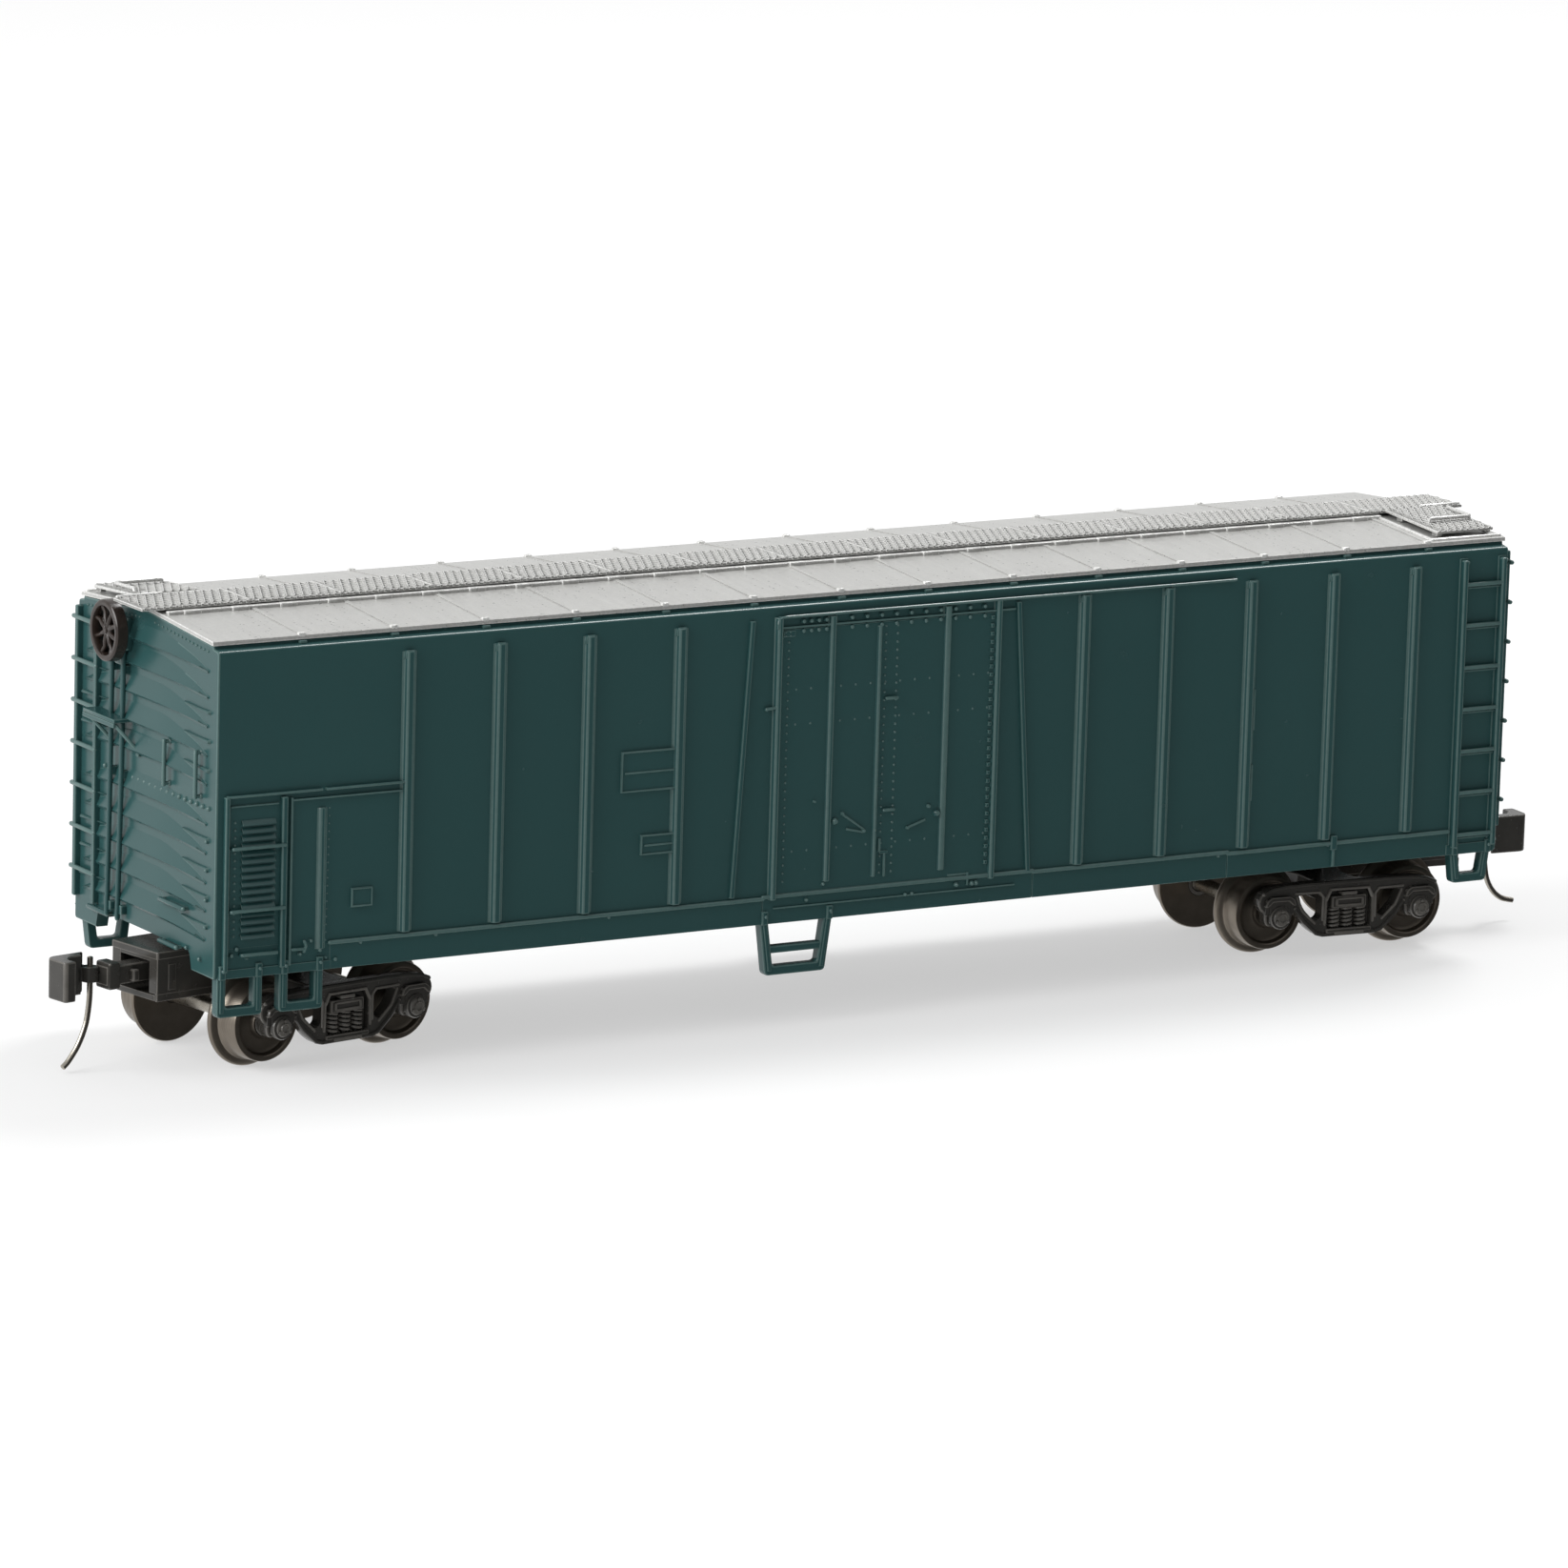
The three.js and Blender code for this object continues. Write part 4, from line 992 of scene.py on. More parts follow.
brakeEnd = {
    "rods": [(4.0, 0.08), (2.4, 0.1)],                                  # across, lean
    "rodRadius": 0.17,
    "rodClips": (9.0, 17.8, 24.6),
    # left, right, low, high, proud of the end wall, edge
    "pads": [(1.95, 4.05, 25.9, 28.0, 0.5, 0.15), (2.5, 3.5, 24.9, 26.2, 0.6, 0.12),
             (1.9, 6.3, 21.3, 21.55, 1.35, 0.06)],
    "lip": (1.9, 6.3, 21.0, 21.3),
    # across at the platform and at the wall
    "struts": [(2.1, 0.9), (5.8, 4.6)],
    "uprights": [(-3.35, 18.3, 21.2), (-7.7, 18.3, 21.3)],              # across, low, high
    "grabs": [(-2.95, -6.2, 10.87), (-3.0, -5.3, 8.2), (7.1, 4.4, 8.35)],       # left, right, height
    "beltRivets": (5.65, 0.804, 19, 17.8),                              # first, pitch, count, height
    "beltGap": (2.0, 4.4),
    "studs": [(-6.2, 8.37), (-8.0, 8.0), (-8.75, 15.7), (-8.75, 11.95), (-8.75, 13.85), (-8.75, 10.2)],
}


def addBrakeEnd(made):
    # rods, hand wheel housing, platform, grab irons and rivets found only at the brake end
    face = -car["end"]
    for y, lean in brakeEnd["rods"]:
        path = [(face - 0.45, y, 27.7), (face - 0.45, y + lean, 18), (face - 0.4, y + 5 * lean, 8.4)]
        made.tube(path, brakeEnd["rodRadius"], 10)
        for z in brakeEnd["rodClips"]:
            made.block((face - 0.4, y - 0.12 + lean, z - 0.3), (face + root, y + 0.3 + lean, z + 0.3), 0.08)
    for left, right, low, high, proud, edge in brakeEnd["pads"]:
        made.block((face - proud, left, low), (face + root, right, high), edge)
    left, right, low, high = brakeEnd["lip"]
    made.block((face - 1.38, left, low), (face - 1.2, right, high), 0.05)
    for y0, y1 in brakeEnd["struts"]:
        made.rod((face - 1.2, y0, 21.2), (face - 0.15, y1, 19.7), 0.13, 8)
        made.block((face - 0.22, y1 - 0.25, 19.3), (face + root, y1 + 0.25, 20.0), 0.08)
    for y, low, high in brakeEnd["uprights"]:
        made.rod((face - 0.42, y, low), (face - 0.42, y, high), 0.14, 10)
        for z in (low + 0.1, high - 0.1):
            made.rod((face - 0.42, y, z), (face + 0.05, y, z), 0.13, 8)
            made.rivet((face - 0.02, y, z), (-1, 0, 0), 0.2, 0.14)
    for y0, y1, z in brakeEnd["grabs"]:
        made.rod((face - 0.36, y0, z), (face - 0.36, y1, z), 0.17, 10, 1)
        for y in (y0 - 0.1, y1 + 0.1):
            made.rod((face - 0.36, y, z), (face + 0.05, y, z), 0.13, 8)
    first, pitch, count, z = brakeEnd["beltRivets"]
    low, high = brakeEnd["beltGap"]
    for k in range(count):
        y = first - pitch * k
        if not low < y < high:
            made.rivet((face - 0.02, y, z), (-1, 0, 0), 0.17, 0.16)
    for y, z in brakeEnd["studs"]:
        made.rivet((face - 0.04, y, z), (-1, 0, 0), 0.16, 0.2)


def addGableRivets(made):
    face = -car["end"]
    slope = (car["ridge"] - car["fascia"]) / car["fasciaSide"]
    for k in range(15):
        y = 1.1 + 0.52 * k
        for sign in (-1, 1):
            made.rivet((face - 0.01, sign * y, car["ridge"] - slope * y - 0.5), (-1, 0, 0), 0.08, 0.08)


def addSeamTabs(made):
    # short straps that carry each roof seam down over the band under the eave
    for x in seamPlaces():
        made.block((x - 0.27, -car["fasciaSide"] - 0.3, car["ledge"] + 0.06),
                   (x + 0.27, -car["fasciaSide"] + 0.1, car["fascia"] - 0.01), 0.09)


def castBody():
    made = shellWalls()
    for side in (0, 1):
        made.place = halfTurn if side else Matrix.Identity(4)
        for x in rib["right"] + rib["left"]:
            addCappedRib(made, x)
        addDoor(made)
        addDoorLock(made)
        addSill(made)
        addSideLadder(made)
        addSeamTabs(made)
        addPlacards(made)
        for hung in steps["hung"]:
            addStirrup(made, *hung)
        addCorrugations(made)
        addEndLadder(made)
        addGableRivets(made)
    made.place = Matrix.Identity(4)
    addLouvres(made)
    addBrakeEnd(made)
    piece = made.cast("body_moulding", "car_body", "teal_paint", ["body_shell"])
    print("body cast:", len(piece.data.polygons), "faces")


roof = {
    "thick": 0.28,
    "seams": 14, "pitch": 6.55,
    "seamHalf": 0.17, "seamRise": 0.07, "seamInner": 2.4,
    "tabHalf": (0.27, 0.19),
    "strip": 29.2,                     # top of the ridge beside the running board
    "stripEnds": (-48.6, 43.3), "stripSides": (-2.55, -2.12),
    "saddleFirst": -46.9, "saddlePitch": 3.4, "saddles": 27, "saddleHalf": 0.62,
    "platformRidge": [(43.15, -2.4), (43.15, -8.75), (48.65, -8.75)],   # round each corner platform
    "ridgeRadius": 0.13,
    "rimIn": 1.4, "rimWide": 1,        # the hollow rim that plugs into the body
}


def roofHeight(y):
    # underside of the roof sheet above a point across the car
    run = roofHigh.y
    return car["fascia"] + 0.03 + (car["ridge"] - car["fascia"]) * (1 - abs(y) / run)


def seamPlaces():
    # where the roof's seams stand along the car
    middle = (roof["seams"] - 1) / 2
    return [(k - middle) * roof["pitch"] for k in range(roof["seams"])]


def castRoof():
    made = Mould()
    run, end, thick, inner = roofHigh.y, roofHigh.x, roof["thick"], roof["seamInner"]
    edge = roofHeight(run)
    half = [(run - 0.02, edge), (run, edge + 0.06), (run - 0.05, edge + thick - 0.03),
            (run - 0.2, roofHeight(run - 0.2) + thick)]
    far = [(-u, v) for u, v in reversed(half)]
    outline = half + [(0, roofHeight(0) + thick)] + far + [(0, roofHeight(0))]
    made.prism(outline, "x", -end, end, 0.05)
    low, high = thick - 0.1, thick + roof["seamRise"]
    tabX, tabY = roof["tabHalf"]
    for x in seamPlaces():
        for sign in (-1, 1):
            outline = [(inner, roofHeight(inner) + low), (run - 0.06, roofHeight(run - 0.06) + low),
                       (run - 0.02, edge + high - 0.06), (run - 0.15, edge + high),
                       (inner, roofHeight(inner) + high)]
            outline = [(sign * u, v) for u, v in outline]
            made.prism(outline, "x", x - roof["seamHalf"], x + roof["seamHalf"], 0)
            made.block((x - tabX, sign * (run - 0.2) - tabY, edge + 0.1),
                       (x + tabX, sign * (run - 0.2) + tabY, edge + high + 0.09), 0.12)
    # ridges along the running board and round each corner platform
    (x0, x1), (y0, y1), strip = roof["stripEnds"], roof["stripSides"], roof["strip"]
    foot = roofHeight(2.45) + thick
    for turn in (Matrix.Identity(4), halfTurn):
        made.place = turn
        made.block((x0, y0, foot - 0.12), (x1, y1, strip), 0.09)
        for k in range(roof["saddles"]):
            x = roof["saddleFirst"] + roof["saddlePitch"] * k
            made.block((x - roof["saddleHalf"], y0 - 0.13, foot - 0.1),
                       (x + roof["saddleHalf"], y1 - 0.08, strip + 0.03), 0.1)
        path = [(x, y, roofHeight(y) + thick + 0.02) for x, y in roof["platformRidge"]]
        for start, stop in zip(path, path[1:]):
            made.tube([start, stop], roof["ridgeRadius"], 8)
    made.place = Matrix.Identity(4)
    inX, inY, wide = car["end"] - roof["rimIn"], car["fasciaSide"] - roof["rimIn"], roof["rimWide"]
    for x0, x1, y0, y1 in ((-inX, inX, -inY, -inY + wide), (-inX, inX, inY - wide, inY),
                           (-inX, -inX + wide, -inY, inY), (inX - wide, inX, -inY, inY)):
        made.block((x0, y0, roofLow.z), (x1, y1, car["fascia"] + 0.2), 0.05)
    piece = made.cast("roof_moulding", "car_body", "silver_paint", ["roof_panel"])
    print("roof cast:", len(piece.data.polygons), "faces")


board = {
    "half": 2.05, "top": 29.42, "thick": 0.2,
    "meshPitch": (0.29, 0.62), "strand": 0.07, "relief": 0.09, "margin": 0.12,
    "toothPitch": 0.45, "toothHalf": (0.1, 0.06),
    "joinHalf": 0.11,
    "postAcross": 1.5, "postHalf": (0.25, 0.3),
    "platform": (43.9, 48.45, 8.3),    # start, end, reach across
    "standoff": 0.28,
    "feet": (3.6, 7.8), "footHalf": (0.22, 0.3),
    "grab": 0.13, "grabAcross": (6.2, 3.3), "grabIn": (0.75, 0.42), "grabRise": 0.3,
    "rail": (3.3, 0.2), "railRadius": 0.12,
}


def addTread(made, x0, x1, y0, y1, height):
    # crossing diagonal strands raised on a plate, and small teeth along its edges
    (across, along), strand, relief = board["meshPitch"], board["strand"], board["relief"]
    points, faces = [], []
    columns, rows = round((x1 - x0) / across), round((y1 - y0) / along)
    for i, j in itertools.product(range(columns), range(rows)):
        ax, bx = x0 + (x1 - x0) * i / columns, x0 + (x1 - x0) * (i + 1) / columns
        ay, by = y0 + (y1 - y0) * j / rows, y0 + (y1 - y0) * (j + 1) / rows
        for start, stop in (((ax, ay), (bx, by)), ((ax, by), (bx, ay))):
            if (i + j) % 2 == (start[1] > stop[1]):
                continue
            way = (Vector(stop) - Vector(start)).normalized()
            side = leftOf(way) * strand
            first = len(points)
            for (x, y), lift in itertools.product((start, stop), (-0.03, relief)):
                spread = 1.0 if lift < 0 else 0.55
                for sign in (-1, 1):
                    u, v = x + side.x * sign * spread, min(max(y + side.y * sign * spread, y0), y1)
                    points.append((min(max(u, x0), x1), v, height(v) + lift))
            a = first
            faces += [[a, a + 1, a + 3, a + 2], [a + 4, a + 6, a + 7, a + 5], [a, a + 4, a + 5, a + 1],
                      [a + 2, a + 3, a + 7, a + 6], [a, a + 2, a + 6, a + 4], [a + 1, a + 5, a + 7, a + 3]]
    made.add(points, faces)


def addTeeth(made, x0, x1, y, height):
    pitch, (halfX, halfY) = board["toothPitch"], board["toothHalf"]
    for k in range(int((x1 - x0) / pitch)):
        x = x0 + 0.22 + pitch * k
        made.block((x - halfX, y - halfY, height - 0.14), (x + halfX, y + halfY, height + 0.05), 0.04)


def deckHeight(y):
    # top of a corner platform above a point across the car
    return roofHeight(y) + roof["thick"] + board["standoff"] + board["thick"]


def addPlatform(made):
    # one corner platform on its feet, with its grab iron
    half, thick, margin = board["half"], board["thick"], board["margin"]
    x0, x1, reach = board["platform"]
    outline = [(-reach, deckHeight(reach)), (-half + 0.1, deckHeight(half)),
               (-half + 0.1, deckHeight(half) - thick),
               (-reach, deckHeight(reach) - thick)]
    made.prism(softened(outline, 0.05, 1), "x", x0, x1, 0.05)
    addTread(made, x0 + margin, x1 - margin, -reach + margin, -half - 0.05, deckHeight)
    addTeeth(made, x0, x1, -reach + 0.07, deckHeight(reach))
    footX, footY = board["footHalf"]
    for y, x in itertools.product(board["feet"], (x0 + 0.3, x1 - 0.3)):
        made.block((x - footX, -y - footY, roofHeight(y - footY) + 0.31),
                   (x + footX, -y + footY, deckHeight(y) - 0.1), 0.05)
    # two runs meeting at the outer corner, on short feet
    grab, (y, yIn) = board["grab"], board["grabAcross"]
    xIn, xOut = x0 + board["grabIn"][0], x1 - board["grabIn"][1]
    rise = deckHeight(y) + board["grabRise"]
    made.tube([(xIn, -y, rise - 0.28), (xIn + 0.02, -y, rise - 0.05), (xIn + 0.15, -y, rise),
               (xOut - 0.2, -y, rise),
               (xOut, -y + 0.2, rise), (xOut, -yIn - 0.15, rise + 0.12), (xOut, -yIn, rise - 0.1)], grab, 10)
    made.rod((xOut - 0.1, -y + 0.1, rise - 0.5), (xOut - 0.1, -y + 0.1, rise), grab, 8)


def castRunningBoard():
    made = Mould()
    end, half, top, thick, margin = boardHigh.x, board["half"], board["top"], board["thick"], board["margin"]
    made.block((-end, -half + 0.03, top - thick), (end, half - 0.03, top), 0.05)
    addTread(made, -end + margin, end - margin, -half + margin, half - margin, lambda y: top)
    for sign in (-1, 1):
        addTeeth(made, -end, end, sign * (half - 0.06), top)
    join, across, (postX, postY) = board["joinHalf"], board["postAcross"], board["postHalf"]
    for x in seamPlaces():
        made.block((x - join, -half + 0.02, top - 0.05), (x + join, half - 0.02, top + 0.12), 0.05)
        for sign in (-1, 1):
            made.block((x - postX, sign * across - postY, roofHeight(1.2) + 0.35),
                       (x + postX, sign * across + postY, top - thick / 2), 0.05)
    start, stop = board["rail"]
    for turn in (Matrix.Identity(4), halfTurn):
        made.place = turn
        addPlatform(made)
        y, z = -half + 0.18, top + 0.06
        made.rod((end - start, y, z), (end - stop, y, z), board["railRadius"], 8)
    made.place = Matrix.Identity(4)
    piece = made.cast("mesh_running_board", "car_body", "silver_paint", ["running_board"],
                      finish="silver_mesh_painted_shade")
    print("running board cast:", len(piece.data.polygons), "faces")


handWheel = {
    "radius": 2.0, "rim": 0.44, "depth": 0.85,
    "hub": 0.54, "peg": 0.28, "pegDeep": 1.55,
    "spokes": 8, "spokeRadius": 0.17,
    # out from the wall, out from the middle
    "spoke": [(0.52, 0.3), (0.5, 0.8), (0.42, 1.2)],
    "web": (0.36, 0.12, 0.09),         # out, in and half thickness of the web behind each spoke
}


def castBrakeWheel():
    made = Mould()
    centre = pivot("brake_wheel_turn")
    out = (-1, 0, 0)
    radius, rim, depth = handWheel["radius"], handWheel["rim"], handWheel["depth"]
    inner = radius - rim
    profile = [(inner, 0.1), (inner + 0.06, 0.02), (radius - 0.1, 0), (radius, 0.09), (radius, depth * 0.55),
               (radius - 0.03, depth - 0.1), (radius - 0.12, depth - 0.01), (radius - 0.2, depth),
               (inner + 0.04, depth - 0.03), (inner, depth - 0.12)]
    made.lathe(profile, centre, out, 56, closed=True)
    hub, peg, deep = handWheel["hub"], handWheel["peg"], handWheel["pegDeep"]
    profile = [(0, -deep), (peg, -deep), (peg, 0), (hub, 0.05), (hub, 0.52), (hub - 0.08, 0.62), (0.2, 0.64),
               (0.16, 0.72), (0, 0.74)]
    made.lathe(profile, centre, out, 24)
    webOut, webIn, webHalf = handWheel["web"]
    for k in range(handWheel["spokes"]):
        turn = Matrix.Rotation(math.tau * (k + 0.5) / handWheel["spokes"], 4, "X")
        made.place = Matrix.Translation(centre) @ turn
        spoke = [(-u, 0, v) for u, v in handWheel["spoke"]] + [(-0.56, 0, inner + 0.1)]
        made.tube(spoke, handWheel["spokeRadius"], 10)
        made.block((-webOut, -webHalf, 0.3), (-webIn, webHalf, inner + 0.1), 0.05)
    made.place = Matrix.Identity(4)
    made.cast("hand_brake_wheel", "brake_wheel", "brown_plastic", ["brake_wheel"], centre)
    print("brake wheel cast")


floorPan = {
    "thick": 0.75,
    "sillHalf": 1.1, "sillDrop": 6.75, "sillEnd": 29, "lipHalf": 0.22,
    "bearers": [-24, -12, 0, 12, 24], "bearerHalf": 0.5,
    "stringers": 9, "stringerPitch": 6.0, "stringerHalf": 0.2,
    "bolsterHalf": 1,
    # turned shapes: radius, distance along their axis
    "tank": [(0, 0), (0.7, 0.05), (1.15, 0.35), (1.3, 0.9), (1.3, 5.1), (1.15, 5.65), (0.7, 5.95), (0, 6)],
    "tankPlace": (-22.5, -4.6, 1.1),   # along, across, below the floor
    "cylinder": [(0, 0), (0.95, 0.03), (1.1, 0.2), (1.1, 1.7), (0.9, 2.0), (0.3, 2.1), (0.3, 3.2),
                 (0, 3.25)],
    "cylinderPlace": (8.5, 4.4, 0.75),
    "boss": [(0, 0.2), (1.8, 0.2), (1.8, 2.1), (1.8, 2.9), (1.72, 3.1), (0.83, 3.1), (0.83, 1.3), (0, 1.3)],
}


def castFloor():
    made = Mould()
    end, side, top = panHigh.x, panHigh.y, panHigh.z
    under = top - floorPan["thick"]
    half, low, reach, lip = (floorPan[k] for k in ("sillHalf", "sillDrop", "sillEnd", "lipHalf"))
    made.block((-end, -side, under), (end, side, top), 0.08)
    made.block((-reach, -half, low), (reach, half, under + 0.1), 0.1)
    for sign in (-1, 1):
        made.block((-reach, sign * half - lip, low), (reach, sign * half + lip, low + 0.3), 0.08)
    half = floorPan["bearerHalf"]
    for x in floorPan["bearers"]:
        made.block((x - half, -side, low + 0.5), (x + half, side, under + 0.1), 0.08)
    half = floorPan["stringerHalf"]
    for k in range(floorPan["stringers"]):
        x = (k - (floorPan["stringers"] - 1) / 2) * floorPan["stringerPitch"]
        made.block((x - half, -side + 0.2, under - 0.45), (x + half, side - 0.2, under + 0.1), 0.06)
    for kind, turns in (("tank", 28), ("cylinder", 24)):
        x, y, drop = floorPan[kind + "Place"]
        made.lathe(floorPan[kind], (x, y, under - drop), (1, 0, 0), turns)
    half = floorPan["bolsterHalf"]
    for x in (pivot("a_truck_swivel").x, pivot("b_truck_swivel").x):
        made.lathe(floorPan["boss"], (x, 0, under + 0.05), (0, 0, -1), 36)
        made.block((x - half, -side, under - 0.9), (x + half, side, under + 0.1), 0.1)
    made.cast("floor_moulding", "car_body", "black_plastic", ["underframe"])
    print("floor cast")


wheelShape = {
    "back": 3.8, "face": 6.0,          # how far the wheel's two sides stand from the middle of the axle
    "flange": 3.15, "tread": 2.6, "rimInner": 2.1, "hub": 1.05,
    "bore": 0.62, "bush": 0.9,
    # half of the axle: radius, distance from its middle
    "axle": [(0, 6.93), (0.05, 6.9), (0.33, 6.54), (0.34, 6.45), (0.34, 6.04), (0.38, 6.0), (0.58, 6.0),
             (0.58, 3.8), (0.56, 3.74), (0.5, 3.6), (0.5, 1.9)],
}


def wheelProfile(bore):
    back, face, flange, tread = (wheelShape[k] for k in ("back", "face", "flange", "tread"))
    rim, hub = wheelShape["rimInner"], wheelShape["hub"]
    return [(bore, back), (1.5, back), (1.6, back + 0.03), (flange - 0.35, back + 0.03),
            (flange - 0.2, back),
            (flange - 0.07, back + 0.03), (flange - 0.01, back + 0.12), (flange, back + 0.22),
            (flange - 0.03, back + 0.34), (flange - 0.12, back + 0.44), (tread + 0.22, back + 0.52),
            (tread + 0.08, back + 0.6), (tread + 0.01, back + 0.74), (tread - 0.02, back + 1.1),
            (tread - 0.06, face - 0.14),
            (tread - 0.1, face - 0.05), (tread - 0.19, face), (rim + 0.12, face), (rim + 0.04, face - 0.05),
            (rim, face - 0.14), (rim - 0.08, face - 0.36), (rim - 0.2, face - 0.44),
            (rim - 0.42, face - 0.47),
            (hub + 0.25, face - 0.42), (hub + 0.08, face - 0.34), (hub, face - 0.16),
            (hub - 0.06, face - 0.05),
            (bore, face - 0.05)]


def castWheelset(end, row, centre, heading):
    # two wheels, a nylon bush and a pin-ended axle, square to the way the truck faces
    body = f"{end}_{row}_wheelset"
    across = Vector((-math.sin(heading), math.cos(heading), 0))
    for kind, bore, along in (("plain", wheelShape["bore"], -across),
                              ("insulated", wheelShape["bush"], across)):
        made = Mould()
        made.lathe(wheelProfile(bore), centre, along, 96, closed=True)
        made.cast(f"{end}_{row}_{kind}_wheel", body, "blackened_metal", [f"{end}_{row}_wheel_{kind}"],
                  centre, 30)
    made = Mould()
    back, face, bore, bush = (wheelShape[k] for k in ("back", "face", "bore", "bush"))
    made.lathe([(bore, back), (bush - 0.03, back), (bush - 0.03, face - 0.04), (bush - 0.07, face),
                (bore, face)],
               centre, across, 48, closed=True)
    made.cast(f"{end}_{row}_nylon_bush", body, "black_plastic", [f"{end}_{row}_bush"], centre)
    made = Mould()
    half = wheelShape["axle"]
    made.lathe(half + [(r, -v) for r, v in reversed(half)], centre, across, 40)
    made.cast(f"{end}_{row}_pin_axle", body, "bright_steel", [f"{end}_{row}_axle"], centre, 30)


sideFrame = {
    "inner": 6.5, "outer": 7.36,       # how far its two faces stand from the middle of the car
    # half of its silhouette, from under the spring seat round the journal to the top chord
    "outline": [(0, 1.52), (2.0, 1.52), (2.5, 1.68), (3.15, 2.15), (3.75, 2.85), (4.15, 3.35), (4.4, 3.5),
                (4.45, 2.75), (4.62, 2.5), (6.2, 2.5), (6.4, 2.75), (6.5, 3.4), (6.85, 3.7), (6.98, 4.15),
                (6.86, 4.6), (6.5, 4.95), (5.9, 5.17), (4.8, 5.3), (3.0, 5.34)],
    "window": [(2.12, 4.52), (4.0, 4.5), (3.5, 3.5), (2.6, 2.6), (2.12, 2.9)],
    "springOpening": [(1.68, 2.02), (1.68, 4.2), (1.4, 4.66)],
    # raised lips: half a path each, then radius
    "lips": [([(3, 5.22), (4.8, 5.18), (5.9, 5.06), (6.6, 4.78)], 0.15),
             ([(2.0, 1.66), (2.5, 1.8), (3.5, 2.7), (4.2, 3.62)], 0.14),
             ([(1.45, 4.76), (1.78, 4.1)], 0.13)],
    # raised window rims: path, radius, proud
    "rims": [([(4.15, 4.66), (2.3, 4.64), (2.02, 4.3), (2.02, 2.7)], 0.1, 0.01),
             ([(1.82, 4.2), (1.86, 2.4)], 0.11, 0.01),
             ([(4.05, 4.4), (3.6, 3.4), (2.6, 2.5)], 0.1, -0.02)],
    # spring seat and bolster end: half width, low, high, proud, depth behind the outer face, edge
    "pads": [(1.75, 1.72, 2.06, 0.12, 0.86, 0.1), (1.15, 1.6, 1.86, 0.2, 0.3, 0.08),
             (1.34, 3.42, 4.28, 0.06, 0.86, 0.12),
             (1.1, 3.56, 3.72, 0.16, 0.1, 0.06), (1.1, 4.0, 4.16, 0.16, 0.1, 0.06),
             (0.6, 4.3, 4.56, 0.1, 0.86, 0.08),
             (1.7, 1.9, 4.6, -0.42, 0.86, 0.05)],
    "bolsterRibs": (-1.0, 1.0),
    "springs": (-1.0, 0, 1.0), "springRadius": 0.36, "springEnds": (2.06, 3.46), "springTurns": 5,
    "springWire": 0.1, "springCore": 0.2, "springIn": 0.36,
    "axle": 5.4, "journal": 3.15,
    "adapter": [(1.2, 3.9), (1.05, 4.35), (0.7, 4.58)], "adapterUnder": [(0.6, 4.22), (0.95, 3.9)],
    "box": (0.82, 0.42, 1.15, 0.26), "boxFlange": (1.12, -0.05, 0.98, 0.14),    # half width, down, up, proud
    "cap": 0.8, "capOut": 8.03,
    "bolts": 3, "boltCircle": 0.45,
}


def mirrored(half):
    # a path and its mirror image, joined into one that runs from left to right
    return [(-u, v) for u, v in reversed(half)] + list(half)


def addSpring(made, x, outer):
    radius, turns, steps = sideFrame["springRadius"], sideFrame["springTurns"], 14
    low, high = sideFrame["springEnds"]
    centre = outer + sideFrame["springIn"]
    path = []
    for k in range(turns * steps + 1):
        angle = math.tau * k / steps
        path.append((x + radius * math.cos(angle), centre + radius * math.sin(angle),
                     low + (high - low) * k / (turns * steps)))
    made.tube(path, sideFrame["springWire"], 6)
    made.rod((x, centre, low), (x, centre, high), sideFrame["springCore"], 10, 0)


def addJournal(made, u, outer, inner):
    # adapter roof, journal box and a bearing cap with three bolts
    journal = sideFrame["journal"]
    over, under = sideFrame["adapter"], sideFrame["adapterUnder"]
    outline = [(u + a, b) for a, b in mirrored(over[::-1])] + [(u - a, b) for a, b in mirrored(under)]
    made.prism(softened(outline, 0.1, 2), "y", outer - 0.34, inner, 0.09)
    for half, down, up, proud in (sideFrame["box"], sideFrame["boxFlange"]):
        made.block((u - half, outer - proud, journal - down), (u + half, inner, journal + up), 0.14)
    cap, out = sideFrame["cap"], sideFrame["capOut"]
    profile = [(0, out - 0.1), (0.22, out - 0.1), (0.27, out), (0.33, out), (0.36, out - 0.12),
               (cap - 0.26, out - 0.16), (cap - 0.2, out - 0.24), (cap - 0.05, out - 0.28),
               (cap, out - 0.36),
               (cap, 6.9), (0, 6.9)]
    made.lathe(profile, (u, 0, journal), (0, -1, 0), 36)
    bolt = [(0, -0.1), (0.13, -0.1), (0.13, 0.08), (0.09, 0.12), (0, 0.12)]
    for k in range(sideFrame["bolts"]):
        angle, circle = math.tau * (0.25 + k / sideFrame["bolts"]), sideFrame["boltCircle"]
        place = (u + circle * math.cos(angle), -out + 0.16, journal + circle * math.sin(angle))
        made.lathe(bolt, place, (0, -1, 0), 6)


